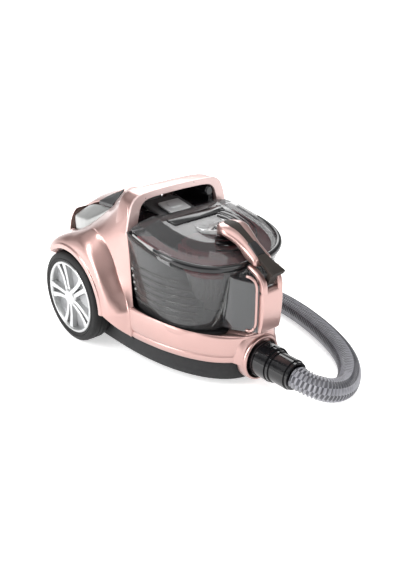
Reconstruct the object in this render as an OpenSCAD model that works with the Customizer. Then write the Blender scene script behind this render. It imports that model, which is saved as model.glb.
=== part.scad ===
// Bagless canister vacuum cleaner with a lift-off dust container, two rear wheels,
// a front caster and a flexible suction hose.
// +X points forward towards the hose port, +Y to the vacuum's left, +Z up.
// The origin is on the floor, at the centre of the machine's box without the hose.

/* [Body] */
// Width of the lower hull between the wheels
hull_w = 216; // [212:2:218]
// Height of the underside above the floor
floor_gap = 12; // [11:1:13]
// Height of the seam between the chassis and the painted shell
seam_z = 48; // [47:1:49]
// Thickness of the moulded walls
wall = 3; // [2.5:0.1:3.2]

/* [Wheels] */
// Diameter of a rear wheel
wheel_d = 164; // [160:1:165]
// Width of a rear wheel
wheel_w = 35; // [32:1:35]
// Diameter of the front caster wheel
caster_d = 44; // [40:1:45]

/* [Dust container] */
// Half width of the container at its rim
rim_b = 115; // [112:1:116]
// Thickness of the clear walls
clear_wall = 2.6; // [2.2:0.1:3]

/* [Hose] */
// Outside diameter of the corrugated hose
hose_d = 37; // [35:1:38]
// Bore of the hose cuffs
cuff_bore = 32; // [30:1:33]

/* [Hidden] */

$fn = 64;

// Plan outline of the hull: two half superellipses that meet at hull_x
hull_x = -20;
hull_front = 228;
hull_rear = 227;
hull_b = hull_w / 2;
front_power = 2.25;
rear_power = 3.5;

// Rear wheels
wheel_r = wheel_d / 2;
wheel_x = -111;
wheel_out = 145;
wheel_in = wheel_out - wheel_w;
axle_r = 5;
arch_r = 98;
arch_gap_r = 88;

// Container and the plane of its rim, which falls towards the front
rim_x = 70;
rim_a = 125;
rim_z = 244;
rim_fall = 0.2;
rim_tilt = atan(rim_fall);
rim_power = 2.6;
tub_z = 93.3;
tub_a = 106;
tub_b = 99;
bin_rear = 24;
outlet_rear = 34;
outlet_half = 64;

// Carrying arch
arch_front = 20;
arch_back = -16;
trim_t = 4;

// Hose port on the front
port_z = 50;
port_front = 221;
collar_r = 28.5;
sleeve_r = 24.5;
sleeve_end = 292;

// Caster
caster_x = 112;
caster_trail = 12;
pocket_r = 43;
pocket_top = 54;

// Motor and reel
motor_x = -70;
motor_z = 152;
reel_x = -150;
reel_r = 74;

// Colours
pink = [0.80, 0.56, 0.52];
charcoal = [0.16, 0.16, 0.17];
black = [0.05, 0.05, 0.06];
silver = [0.74, 0.75, 0.76];
smoke = [0.42, 0.42, 0.41, 0.6];
grey = [0.45, 0.45, 0.46];

// Route of the hose centreline: out of the cuff, round to the left and back along that side,
// then half a turn on the floor behind the machine
turn_x = -440;
turn_y = 312;
turn_r = 144;
ROUTE = [
    [292, 0, 49], [304, 1, 47], [317, 6, 43], [328, 16, 38], [334, 30, 32], [336, 46, 27], [334, 63, 23],
    [328, 80, 20], [319, 97, 19], [307, 114, 18.6], [291, 131, 18.6], [271, 147, 18.6], [247, 162, 18.6],
    [219, 176, 18.6], [187, 189, 18.6], [151, 201, 18.6], [113, 211, 18.6], [73, 218, 18.6], [31, 220, 18.6],
    [-15, 217, 18.6], [-65, 210, 18.6], [-120, 199, 18.6], [-180, 186, 18.6], [-240, 176, 18.6],
    [-305, 170, 18.6], [-375, 168, 18.6],
    for (a = [0 : 15 : 180]) [turn_x - turn_r * sin(a), turn_y - turn_r * cos(a), 18.6],
    [-415, 456, 19.6], [-390, 456, 21.6], [-375, 456, 21.6]];

function signed_pow(v, p) = sign(v) * pow(abs(v), p);
function super_point(t, a, b, p) = [a * signed_pow(cos(t), 2 / p), b * signed_pow(sin(t), 2 / p)];

function hull_plan(inset = 0) = [
    for (t = [0 : 5 : 359])
        let (front = cos(t) >= 0)
        super_point(t, (front ? hull_front : hull_rear) - inset, hull_b - inset, front ? front_power : rear_power)
            + [hull_x, 0]];

function rim_plan(a, b) = [for (t = [0 : 5 : 359]) super_point(t, a, b, rim_power) + [rim_x, 0]];
function clip_rear(points, x0) = [for (p = points) [max(p[0], x0), p[1]]];
function on_rim(points, lift) = [for (p = points) [p[0], p[1], rim_z - rim_fall * p[0] + lift]];
function at_level(points, z) = [for (p = points) [p[0], p[1], z]];

// Closed solid through a stack of rings that have the same number of points
module loft(rings) {
    n = len(rings[0]);
    last = len(rings) - 1;
    points = [for (r = rings) for (p = r) p];
    sides = [for (k = [0 : last - 1]) for (i = [0 : n - 1])
        let (j = (i + 1) % n)
        [[k * n + i, (k + 1) * n + j, k * n + j], [k * n + i, (k + 1) * n + i, (k + 1) * n + j]]];
    bottom = [for (i = [0 : n - 1]) i];
    top = [for (i = [n - 1 : -1 : 0]) last * n + i];
    polyhedron(points = points, faces = concat([for (s = sides) for (f = s) f], [bottom], [top]), convexity = 6);
}

module along_y(half) {
    translate([0, half, 0])
        rotate([90, 0, 0])
            linear_extrude(2 * half)
                children();
}

module along_x(x0, x1) {
    translate([x0, 0, 0])
        rotate([90, 0, 90])
            linear_extrude(x1 - x0)
                children();
}

module bar_y(r, y0, y1, x = 0, z = 0) {
    translate([x, y1, z])
        rotate([90, 0, 0])
            cylinder(r = r, h = y1 - y0);
}

module bar_x(r, x0, x1, y = 0, z = 0) {
    translate([x0, y, z])
        rotate([0, 90, 0])
            cylinder(r = r, h = x1 - x0);
}

module block(x0, x1, y0, y1, z0, z1) {
    translate([x0, y0, z0])
        cube([x1 - x0, y1 - y0, z1 - z0]);
}

module both_sides() {
    children();
    mirror([0, 1, 0])
        children();
}

// Moves its children into the plane of the container's rim: local z = 0 is the plane
module rim_frame() {
    translate([0, 0, rim_z])
        rotate([0, rim_tilt, 0])
            children();
}

// ---- Rear hull ----

// Height of the hull's roof against x, and its half width against z
ROOF = [
    [-247, 48], [-247, 118], [-245, 150], [-240, 176], [-230, 196], [-213, 209], [-190, 220], [-154, 235],
    [-106, 248], [-38, 268], [-16, 275]];
FLANK = [[48, 108], [110, 108], [150, 104], [180, 96], [202, 80], [226, 62], [244, 42], [262, 22], [276, 6]];

module roof_side(drop) {
    polygon(concat([for (p = ROOF) [p[0] + drop, p[1] - drop]], [[arch_front, 275 - drop], [arch_front, 48 - drop]]));
}

module flank_section(inset) {
    polygon(concat([for (p = FLANK) [p[1] - inset, p[0] - inset]],
        [for (i = [len(FLANK) - 1 : -1 : 0]) [inset - FLANK[i][1], FLANK[i][0] - inset]]));
}

module rear_hull(inset) {
    intersection() {
        linear_extrude(300)
            polygon(hull_plan(inset));
        along_y(150)
            roof_side(inset);
        along_x(-260, arch_front - inset)
            flank_section(inset);
    }
}

module pedal_plan(grow) {
    polygon([
        [-214 - grow, 31 - grow], [-165, 38 - grow], [-93 + grow, 53 - grow], [-93 + grow, 61 + grow],
        [-149, 73 + grow], [-212 - grow, 61 + grow]]);
}

module pedal_body(grow) {
    intersection() {
        translate([0, 0, 150])
            linear_extrude(100)
                pedal_plan(grow);
        along_y(150)
            polygon([[-230, 160 - grow], [-230, 184 + grow], [-80, 233 + grow], [-80, 222 - grow], [-140, 190 - grow]]);
    }
}

// Openings for the two pedals, deep enough for their travel
module pedal_wells() {
    both_sides()
        translate([0, 0, 150])
            linear_extrude(110)
                pedal_plan(1.5);
}

// Top cover in plan: a narrow spine between the pedals that widens towards the arch
module cover_plan() {
    polygon([
        [-232, 24], [-165, 31], [-138, 34], [-118, 9], [-98, 43], [-94, 52], [arch_back, 84],
        [arch_back, -84], [-94, -52], [-98, -43], [-118, -9], [-138, -34], [-165, -31], [-232, -24]]);
}

module inlay_plan() {
    polygon([[-144, 48], [-138, 34], [-118, 9], [-98, 43], [-94, 52]]);
}

cover_t = 4;
band_out = 9;
band_top = 98;
strip_h = 12;

module top_layer(bottom, top) {
    difference() {
        along_y(120)
            roof_side(top);
        along_y(121)
            roof_side(bottom);
    }
}

// ---- Machine body ----

module chassis_base() {
    color(charcoal)
    difference() {
        union() {
            difference() {
                translate([0, 0, floor_gap])
                    linear_extrude(seam_z - floor_gap)
                        polygon(hull_plan(0));
                translate([0, 0, floor_gap + wall])
                    linear_extrude(seam_z)
                        polygon(hull_plan(wall));
            }
            translate([caster_x, 0, floor_gap])
                cylinder(r = pocket_r + wall, h = pocket_top + wall - floor_gap);
            translate([caster_x, 0, pocket_top])
                cylinder(r = 11, h = 16);
            translate([reel_x, 0, floor_gap])
                cylinder(r = 9, h = 8);
            both_sides()
                block(-121, -101, 84, hull_b - 9, floor_gap + 1, wheel_r + 14);
        }
        translate([caster_x, 0, floor_gap - 1])
            cylinder(r = pocket_r, h = pocket_top - floor_gap + 1);
        translate([caster_x, 0, 0])
            cylinder(r = 5.05, h = 68);
        bar_x(36, 184, 240, 0, port_z);
        translate([reel_x, 0, floor_gap + wall])
            cylinder(r = 3, h = 20);
        both_sides()
            bar_y(axle_r, 80, 110, wheel_x, wheel_r);
        for (x = [-205, 60])
            both_sides()
                translate([x, 70, floor_gap - 1])
                    cylinder(r = 2, h = 10);
    }
}

module shoulder() {
    intersection() {
        translate([0, 0, 190])
            linear_extrude(90)
                polygon([[-100, 50], [arch_back, 50], [arch_back, 110], [-100, 70]]);
        along_y(110)
            polygon([[-100, 190], [arch_back, 190], [arch_back, 270], [-100, 230]]);
        along_x(-100, arch_back)
            polygon([[50, 190], [104, 190], [84, 270], [50, 270]]);
    }
}

module upper_shell() {
    color(pink)
    difference() {
        union() {
            rear_hull(cover_t);
            // Side band around the container, with a lower strip
            intersection() {
                union() {
                    translate([0, 0, seam_z])
                        linear_extrude(strip_h)
                            polygon(hull_plan(-band_out / 2));
                    translate([0, 0, seam_z + strip_h])
                        linear_extrude(band_top - seam_z - strip_h)
                            polygon(hull_plan(-band_out));
                }
                block(-20, 260, -150, 150, 0, 120);
            }
            // Nose around the hose port
            intersection() {
                block(180, 214, -44, 44, seam_z, 104);
                translate([0, 0, 40])
                    linear_extrude(80)
                        polygon(hull_plan(-band_out));
            }
            bar_x(39, 186, port_front - 6, 0, port_z);
            // Pillars that carry the arch, and shoulders behind them
            both_sides()
                block(arch_back, arch_front, 87, 107, 90, 236);
            both_sides()
                shoulder();
            // Bosses for the pedal pins
            both_sides()
                block(-108, -98, 38, 49, 212, 234);
            // Arches over the rear wheels
            both_sides()
                intersection() {
                    bar_y(arch_r, hull_b - 8, wheel_out - 1, wheel_x, wheel_r);
                    block(-260, 40, 90, 160, seam_z, 200);
                }
        }
        // Hollow inside
        rear_hull(cover_t + wall);
        translate([0, 0, seam_z - 1])
            linear_extrude(43)
                intersection() {
                    polygon(hull_plan(wall));
                    translate([-60, -150])
                        square([320, 300]);
                }
        // Well for the container
        translate([0, 0, 90])
            linear_extrude(40)
                polygon(clip_rear(rim_plan(tub_a + 6, tub_b + 3.5), arch_front));
        block(12.9, 30, -86.5, 86.5, seam_z - 1, 300);
        block(arch_back - 1, arch_front + 1, -86.5, 86.5, 232, 300);
        block(-47, arch_back, -76.5, 76.5, 232, 300);
        // Wheel wells
        both_sides()
            bar_y(arch_gap_r, wheel_in - 1, wheel_out + 5, wheel_x, wheel_r);
        both_sides()
            bar_y(axle_r + 2, 80, 120, wheel_x, wheel_r);
        both_sides()
            bar_y(9.5, hull_b - 4.5, 120, wheel_x, wheel_r);
        both_sides()
            bar_y(1.5, 30, 80, pin_x, pin_z);
        // Hose port, and the opening under the container's front duct
        bar_x(35, 180, 230, 0, port_z);
        block(178, 204, -24, 24, 60, 110);
        // Rear grille opening and cord outlet
        block(-260, -230, -52, 52, 92, 154);
        bar_x(9, -260, -215, gland_y, gland_z);
        bar_x(12.2, -222.2, -200, gland_y, gland_z);
        pedal_wells();
        // Below the seam
        block(-300, 300, -200, 200, 0, seam_z);
    }
}

module top_cover() {
    color(pink)
    intersection() {
        translate([0, 0, 150])
            linear_extrude(150)
                cover_plan();
        top_layer(cover_t, 0);
    }
}

module top_inlays() {
    color(charcoal)
    intersection() {
        translate([0, 0, 150])
            linear_extrude(150)
                both_sides()
                    inlay_plan();
        top_layer(cover_t, 1);
    }
}

ARCH_OUT = [[236, 107], [255, 104.5], [270, 101], [279, 96], [284, 86], [287, 62], [288.6, 30]];
ARCH_IN = [[236, 87], [256, 82], [264, 76], [269, 66], [273, 40]];

module arch_section() {
    difference() {
        polygon(concat([for (p = ARCH_OUT) [p[1], p[0]]],
            [for (i = [len(ARCH_OUT) - 1 : -1 : 0]) [-ARCH_OUT[i][1], ARCH_OUT[i][0]]]));
        polygon(concat([[ARCH_IN[0][1], 200]], [for (p = ARCH_IN) [p[1], p[0]]],
            [for (i = [len(ARCH_IN) - 1 : -1 : 0]) [-ARCH_IN[i][1], ARCH_IN[i][0]]], [[-ARCH_IN[0][1], 200]]));
    }
}

module carry_arch() {
    color(pink)
    along_x(arch_back, arch_front - trim_t)
        arch_section();
}

module arch_trim() {
    color([0.90, 0.72, 0.69])
    along_x(arch_front - trim_t, arch_front)
        arch_section();
}

// Dark surround of the hand opening, behind the arch
module arch_liner() {
    color(black)
    difference() {
        union() {
            block(-46, arch_back, -76, 76, 238, 262);
            block(arch_back, arch_front - 6, -81, 81, 238, 255.5);
        }
        block(-42, arch_front + 1, -70, 70, 243, 270);
        translate([0, 0, 0.2])
            rim_frame()
                block(-60, 50, -39.5, 39.5, -12, 30);
        block(-50, -28, -90, 90, 256, 270);
    }
}

module latch_deck() {
    color(smoke)
    rim_frame()
        difference() {
            block(-38, 32, -38, 38, -4, 0);
            block(-9.5, 22.5, -17.5, 17.5, -5, 1);
        }
}

module release_button() {
    color(silver)
    rim_frame()
        union() {
            block(-9, 22, -17, 17, -5, 4.2);
            block(-12, 25, -22, 22, 4.2, 8);
        }
}

// Wall between the container and the motor bay, with the air outlet
module bulkhead() {
    color(black)
    difference() {
        union() {
            block(15, arch_front, -86, 86, seam_z + 46, 231);
            block(15, outlet_rear - 1.5, -outlet_half + 2, outlet_half - 2, seam_z + 46, 228);
            both_sides()
                rim_frame()
                    block(16, 20, 22, 36, -12, -4);
        }
        bar_x(30, 0, 50, 0, 165);
        block(arch_front - 1, outlet_rear - 5, -outlet_half + 6, outlet_half - 6, seam_z + 50, 224);
    }
}

module bin_tray() {
    color(black)
    difference() {
        translate([0, 0, 90])
            linear_extrude(3)
                polygon(clip_rear(rim_plan(tub_a + 5, tub_b + 3), arch_front));
        block(arch_front - 1, outlet_rear, -outlet_half, outlet_half, 80, 100);
        block(178.7, 200, -24, 24, 80, 100);
    }
}

module inlet_elbow() {
    color(charcoal)
    difference() {
        union() {
            bar_x(31, 182, 204, 0, port_z);
            block(179, 203, -23, 23, port_z, 103.5);
        }
        bar_x(28, 186, 206, 0, port_z);
        block(183, 200, -19, 19, port_z, 110);
    }
}

module port_ring() {
    color(pink)
    difference() {
        bar_x(34.5, port_front - 7, port_front, 0, port_z);
        bar_x(30, port_front - 10, port_front + 5, 0, port_z);
    }
}

module port_seal() {
    color(black)
    translate([208, 0, port_z])
        rotate([0, 90, 0])
            rotate_extrude()
                translate([32, 0])
                    circle(r = 2.2);
}

module motor_housing() {
    color(charcoal)
    difference() {
        bar_x(60, motor_x - 48, motor_x + 50, 0, motor_z);
        bar_x(57, motor_x - 44, motor_x + 46, 0, motor_z);
        bar_x(26, motor_x, motor_x + 60, 0, motor_z);
        bar_x(20, motor_x - 60, motor_x, 0, motor_z);
    }
}

module motor() {
    color(grey)
    difference() {
        union() {
            bar_x(42, motor_x - 36, motor_x + 8, 0, motor_z);
            bar_x(14, motor_x - 42, motor_x - 30, 0, motor_z);
        }
        bar_x(4.05, motor_x - 60, motor_x + 60, 0, motor_z);
    }
}

module motor_mounts() {
    color(black)
    for (x = [motor_x - 34, motor_x + 2])
        difference() {
            bar_x(56.5, x, x + 6, 0, motor_z);
            bar_x(42, x - 1, x + 7, 0, motor_z);
        }
}

module fan() {
    color(silver)
    difference() {
        union() {
            bar_x(4, motor_x - 41, motor_x + 36, 0, motor_z);
            bar_x(50, motor_x + 12, motor_x + 15, 0, motor_z);
            bar_x(50, motor_x + 29, motor_x + 32, 0, motor_z);
            bar_x(12, motor_x + 12, motor_x + 32, 0, motor_z);
            for (a = [0 : 45 : 359])
                translate([0, 0, motor_z])
                    rotate([a, 0, 0])
                        block(motor_x + 13, motor_x + 31, 10, 49, -1, 1);
        }
        difference() {
            bar_x(22, motor_x + 20, motor_x + 40, 0, motor_z);
            bar_x(12, motor_x + 10, motor_x + 41, 0, motor_z);
        }
    }
}

module pre_motor_filter() {
    color([0.85, 0.85, 0.82])
    bar_x(62, -12, 13, 0, 165);
}

module exhaust_filter() {
    color([0.9, 0.9, 0.87])
    union() {
        block(-234, -230, -50, 50, 94, 152);
        for (y = [-47 : 8 : 46])
            block(-230.5, -212, y, y + 4, 96, 150);
    }
}

module exhaust_grille() {
    color(charcoal)
    difference() {
        intersection() {
            block(-247, -236.5, -52, 52, 92, 154);
            linear_extrude(200)
                polygon(hull_plan(2));
        }
        for (z = [101 : 8 : 145])
            block(-250, -230, -42, 42, z, z + 4);
    }
}

gland_y = 62;
gland_z = 70;

module cord_gland() {
    color(black)
    difference() {
        union() {
            bar_x(8.8, -246, -222, gland_y, gland_z);
            bar_x(12, -222, -219, gland_y, gland_z);
        }
        bar_x(5, -260, -200, gland_y, gland_z);
    }
}

module cord_reel() {
    color(charcoal)
    difference() {
        union() {
            translate([reel_x, 0, 22])
                cylinder(r = reel_r, h = 3);
            translate([reel_x, 0, 24])
                cylinder(r = 32, h = 30);
            translate([reel_x, 0, 53])
                cylinder(r = reel_r, h = 3);
        }
        translate([reel_x, 0, 20])
            cylinder(r = 3.05, h = 40);
    }
}

module reel_axle() {
    color(silver)
    union() {
        translate([reel_x, 0, floor_gap + wall])
            cylinder(r = 3, h = 45);
        translate([reel_x, 0, 58])
            cylinder(r = 6, h = 3);
    }
}

module control_board() {
    color([0.10, 0.35, 0.18])
    union() {
        block(-205, -150, -20, 20, 168, 170);
        block(-190, -176, -12, 2, 170, 182);
        block(-170, -158, 2, 14, 170, 178);
    }
}

pin_x = -103;
pin_z = 219.5;

module pedal(colour) {
    color(colour)
    difference() {
        pedal_body(0);
        translate([2, 0, -5])
            intersection() {
                pedal_body(-2.5);
                block(-260, pin_x - 10, 0, 120, 100, 260);
            }
        bar_y(1.55, 40, 80, pin_x, pin_z);
    }
}

module power_pedal() {
    mirror([0, 1, 0])
        pedal(silver);
}

module rewind_pedal() {
    pedal(silver);
}

module pedal_pins() {
    color(silver)
    both_sides()
        bar_y(1.5, 40, 61, pin_x, pin_z);
}

// ---- Wheels ----

module wheel_axles() {
    color(silver)
    both_sides()
        union() {
            bar_y(axle_r, 84, wheel_out - 6, wheel_x, wheel_r);
            bar_y(9, hull_b - 3.5, wheel_in - 0.4, wheel_x, wheel_r);
        }
}

module axle_clips() {
    color(silver)
    both_sides()
        difference() {
            bar_y(8, wheel_out - 8.5, wheel_out - 7, wheel_x, wheel_r);
            bar_y(axle_r, wheel_out - 20, wheel_out, wheel_x, wheel_r);
        }
}

rim_r = 66;

module tyre() {
    color(black)
    translate([wheel_x, wheel_out, wheel_r])
        rotate([90, 0, 0])
            rotate_extrude($fn = 96)
                difference() {
                    polygon([
                        [rim_r, 0.8], [wheel_r - 5, 0], [wheel_r - 1.6, 2.4], [wheel_r, 8], [wheel_r, wheel_w - 8],
                        [wheel_r - 1.6, wheel_w - 2.4], [wheel_r - 5, wheel_w], [rim_r, wheel_w]]);
                    for (y = [13, 22])
                        translate([wheel_r - 0.8, y])
                            square([2, 1.6]);
                }
}

module rim() {
    color(silver)
    translate([wheel_x, wheel_out, wheel_r])
        rotate([90, 0, 0])
            difference() {
                union() {
                    difference() {
                        translate([0, 0, 1])
                            cylinder(r = rim_r, h = wheel_w - 2, $fn = 96);
                        translate([0, 0, -1])
                            cylinder(r = rim_r - 5, h = wheel_w + 2, $fn = 96);
                    }
                    translate([0, 0, 12])
                        cylinder(r = rim_r - 4, h = 3, $fn = 96);
                    translate([0, 0, 9])
                        cylinder(r = 17, h = wheel_w - 10);
                    for (a = [0 : 72 : 359], side = [-1, 1])
                        rotate([0, 0, a + side * 12])
                            translate([13.4, -2.5, 3.5])
                                cube([rim_r - 16.4, 5, 9.2]);
                }
                translate([0, 0, -1])
                    cylinder(r = axle_r + 0.06, h = wheel_w + 2);
            }
}

module hub_cap() {
    color(silver)
    translate([wheel_x, wheel_out, wheel_r])
        rotate([90, 0, 0])
            difference() {
                union() {
                    translate([0, 0, 1.5])
                        cylinder(r = 14, h = 2);
                    translate([0, 0, 3])
                        cylinder(r = 12, h = 5.5);
                }
                translate([0, 0, 4])
                    cylinder(r = 10, h = 6);
            }
}

module tyre_left() { tyre(); }
module rim_left() { rim(); }
module hub_cap_left() { hub_cap(); }
module tyre_right() { mirror([0, 1, 0]) tyre(); }
module rim_right() { mirror([0, 1, 0]) rim(); }
module hub_cap_right() { mirror([0, 1, 0]) hub_cap(); }

caster_axle_x = caster_x - caster_trail;
caster_r = caster_d / 2;

module caster_fork() {
    color(charcoal)
    difference() {
        union() {
            translate([caster_x, 0, pocket_top - 4.5])
                cylinder(r = 17, h = 4);
            translate([caster_x, 0, pocket_top - 4.5])
                cylinder(r = 5, h = 18);
            both_sides()
                translate([0, 12, 0])
                    rotate([90, 0, 0])
                        linear_extrude(3)
                            polygon([
                                [caster_axle_x - 7, caster_r - 6], [caster_axle_x + 7, caster_r - 6],
                                [caster_x + 12, pocket_top - 4], [caster_x - 12, pocket_top - 4]]);
        }
        bar_y(2, -20, 20, caster_axle_x, caster_r);
    }
}

module caster_axle() {
    color(silver)
    bar_y(2, -13, 13, caster_axle_x, caster_r);
}

module caster_wheel() {
    color(black)
    translate([caster_axle_x, 0, caster_r])
        rotate([90, 0, 0])
            rotate_extrude()
                polygon([
                    [2.05, -8], [caster_r - 2, -8], [caster_r, -5], [caster_r, 5], [caster_r - 2, 8], [2.05, 8]]);
}

module housing_screws() {
    color(silver)
    for (x = [-205, 60])
        both_sides()
            translate([x, 70, floor_gap])
                union() {
                    cylinder(r = 2, h = 9, $fn = 24);
                    translate([0, 0, 3])
                        cylinder(r = 4, h = 2.5, $fn = 24);
                }
}

// ---- Dust container ----

module tub_solid(inset, bottom, lift) {
    difference() {
        loft([
            at_level(clip_rear(rim_plan(tub_a - inset, tub_b - inset), bin_rear + inset), bottom),
            at_level(clip_rear(rim_plan(tub_a + 5 - inset, tub_b + 5 - inset), bin_rear + inset), 125),
            on_rim(clip_rear(rim_plan(rim_a - inset, rim_b - inset), bin_rear + inset), lift)]);
        block(0, outlet_rear + inset, -outlet_half - inset, outlet_half + inset, 0, 300);
    }
}

module dust_container() {
    color(smoke)
    difference() {
        union() {
            tub_solid(0, tub_z, -5.5);
            both_sides()
                rim_frame()
                    bar_y(4, 92, 102, 30, -5);
        }
        tub_solid(clear_wall, tub_z + clear_wall, 2);
        // Room for the lid's hinge lugs
        both_sides()
            rim_frame()
                block(20, 36, 82, 92, -10, 5);
        // Outlet at the back and inlet from the front duct
        bar_x(28, 20, 50, 0, 165);
        block(165, 200, -20, 20, 150, 188);
        both_sides()
            rim_frame()
                bar_y(1.55, 60, 110, 30, -5);
    }
}

module duct_plan(inset) {
    polygon([[160, 46 - inset], [196, 44 - inset], [229 - inset, 23 - inset],
        [229 - inset, inset - 23], [196, inset - 44], [160, inset - 46]]);
}

module front_duct() {
    color(smoke)
    difference() {
        intersection() {
            translate([0, 0, 105.5])
                linear_extrude(90)
                    duct_plan(0);
            along_y(60)
                polygon([[150, 105], [240, 105], [240, 183], [208, 191], [150, 196]]);
        }
        translate([0, 0, 100])
            linear_extrude(84)
                duct_plan(clear_wall);
        tub_solid(0, tub_z, -5.5);
    }
}

module front_post() {
    color(pink)
    difference() {
        along_y(20)
            polygon([[229, 105.5], [235, 105.5], [237, 150], [235, 186], [222, 199], [203, 206.5], [200, 201], [213, 196],
                [229, 186]]);
        block(218, 245, -9, 9, 176, 215);
    }
}

module cyclone_shroud() {
    color([0.55, 0.20, 0.24])
    difference() {
        translate([104, 0, 168])
            cylinder(r = 46, h = 42);
        translate([104, 0, 160])
            cylinder(r = 43, h = 47);
    }
}

module cyclone_filter() {
    color([0.7, 0.7, 0.68])
    difference() {
        union() {
            translate([104, 0, 116])
                cylinder(r = 36, h = 52);
            translate([104, 0, 160])
                cylinder(r = 46, h = 8);
            translate([104, 0, tub_z + clear_wall])
                cylinder(r = 15, h = 22);
        }
        translate([104, 0, 119])
            cylinder(r = 33, h = 60);
    }
}

module lid_hinge_pins() {
    color(silver)
    both_sides()
        rim_frame()
            bar_y(1.5, 82, 102, 30, -5);
}

// Clear dome over the container
module dome_solid(inset, low, rise) {
    difference() {
        loft([
            on_rim(clip_rear(rim_plan(rim_a - inset, rim_b - inset), bin_rear + 6 + inset), low),
            on_rim(clip_rear(rim_plan(rim_a - 14 - inset, rim_b - 14 - inset), bin_rear + 6 + inset), rise * 0.6),
            on_rim(clip_rear(rim_plan(rim_a - 40 - inset, rim_b - 44 - inset), outlet_rear + inset), rise)]);
        block(0, outlet_rear + inset, -outlet_half - inset, outlet_half + inset, 0, 400);
    }
}

module lid() {
    color(smoke)
    difference() {
        union() {
            dome_solid(4, 2, 15);
            both_sides()
                rim_frame()
                    union() {
                        block(27, 33, 83, 91, -5, 3.2);
                        block(27, 37, 83, 91, 0.6, 3.2);
                        bar_y(4, 83, 91, 30, -5);
                    }
        }
        dome_solid(4 + clear_wall, 1, 15 - clear_wall);
        both_sides()
            rim_frame()
                bar_y(1.55, 60, 110, 30, -5);
    }
}

module ring_band(out, in, low, high) {
    difference() {
        loft([
            on_rim(clip_rear(rim_plan(rim_a + out, rim_b + out), bin_rear - 1), low),
            on_rim(clip_rear(rim_plan(rim_a + out, rim_b + out), bin_rear - 1), high)]);
        loft([
            on_rim(clip_rear(rim_plan(rim_a - in, rim_b - in), bin_rear + in - 1), low - 1),
            on_rim(clip_rear(rim_plan(rim_a - in, rim_b - in), bin_rear + in - 1), high + 1)]);
        block(0, 42, -200, 200, 0, 400);
    }
}

module lid_ring() {
    color(black)
    ring_band(2, 4, -3, 4);
}

module lid_seal() {
    color(black)
    ring_band(0, 3, -5.3, -3);
}

HANDLE_TOP = [[124, 251], [132, 255], [152, 254], [178, 243], [204, 227], [224, 214]];
HANDLE_LOW = [
    [212, 205.8], [197, 208.7], [187, 210.7], [186, 222], [172, 232], [152, 240], [140, 236], [138, 231.5],
    [124, 234.3]];

// Round rear end of radius r, closed by the given points in front
module handle_plan(r, front) {
    polygon(concat([for (a = [90 : 10 : 270]) [150 + r * cos(a), r * sin(a)]], front));
}

module bin_handle() {
    color(pink)
    difference() {
        intersection() {
            along_y(30)
                polygon(concat(HANDLE_TOP, HANDLE_LOW));
            translate([0, 0, 190])
                linear_extrude(90)
                    handle_plan(26, [[182, -17], [230, -15], [230, 15], [182, 17]]);
        }
        grip_recess(0.2);
        lever_slot(0.6);
        bar_y(1.5, -20, 20, lever_x, lever_z);
    }
}

// Recess for the soft grip in the top of the handle
module grip_recess(grow) {
    intersection() {
        along_y(30)
            polygon([[120, 246 - grow], [132, 248 - grow], [152, 247 - grow], [178, 236.5 - grow], [206, 220 - grow],
                [206, 270], [120, 270]]);
        translate([0, 0, 190])
            linear_extrude(90)
                handle_plan(16 + grow, [[182, -9.5 - grow], [189, -9.5 - grow], [189, 9.5 + grow], [182, 9.5 + grow]]);
    }
}

module handle_grip() {
    color([0.22, 0.20, 0.19])
    intersection() {
        grip_recess(0);
        along_y(30)
            polygon([[120, 250], [132, 252.5], [152, 251.5], [178, 240.5], [206, 224], [206, 200], [120, 200]]);
    }
}

lever_x = 200;
lever_z = 222;

module lever_slot(grow) {
    block(192 - grow, 250, -9.5 - grow, 9.5 + grow, 200, 260);
}

// Flared lever at the front end of the handle
module release_lever() {
    color([0.20, 0.17, 0.16])
    difference() {
        intersection() {
            along_y(12)
                polygon([[194, 233], [194, 218], [206, 213], [216, 207], [226, 196], [234, 190], [247, 203],
                    [242, 209], [226, 214], [212, 226]]);
            translate([0, 0, 180])
                linear_extrude(80)
                    polygon([[190, 9], [222, 8.5], [248, 8.5], [248, -8.5], [222, -8.5], [190, -9]]);
        }
        bar_y(1.55, -20, 20, lever_x, lever_z);
    }
}

module lever_pin() {
    color(silver)
    bar_y(1.5, -13, 13, lever_x, lever_z);
}

// ---- Hose ----

module hose_collar() {
    color(black)
    difference() {
        union() {
            bar_x(collar_r, 210, 250, 0, port_z);
            bar_x(29.9, port_front + 0.3, 226, 0, port_z);
        }
        bar_x(21, 200, 260, 0, port_z);
        block(228, 243, -6.5, 6.5, port_z + 22.3, port_z + 40);
    }
}

module collar_latch() {
    color([0.09, 0.09, 0.10])
    block(229, 242, -5.5, 5.5, port_z + 25.5, port_z + 29.6);
}

module hose_sleeve() {
    color(black)
    difference() {
        union() {
            bar_x(sleeve_r, 250, 286, 0, port_z - 1);
            bar_x(26.5, 250, 256, 0, port_z - 1);
            bar_x(22.5, 286, sleeve_end, 0, port_z - 1);
        }
        bar_x(18.6, 240, sleeve_end + 1, 0, port_z - 1);
    }
}

function unit(v) = v / norm(v);
function tangent(i) = unit(ROUTE[min(i + 1, len(ROUTE) - 1)] - ROUTE[max(i - 1, 0)]);
function side_of(t) = unit(cross([0, 0, 1], t));
hose_sides = 12;

module hose_tube() {
    color(grey)
    loft([
        for (i = [0 : len(ROUTE) - 1])
            let (t = tangent(i), u = side_of(t), v = cross(t, u))
            [for (k = [0 : hose_sides - 1])
                let (a = 360 * k / hose_sides)
                ROUTE[i] + (u * cos(a) + v * sin(a)) * hose_d / 2]]);
}

end_point = ROUTE[len(ROUTE) - 1];
end_heading = atan2(tangent(len(ROUTE) - 1)[1], tangent(len(ROUTE) - 1)[0]);

module at_hose_end() {
    translate([end_point[0], end_point[1], end_point[2]])
        rotate([0, 0, end_heading])
            children();
}

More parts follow.
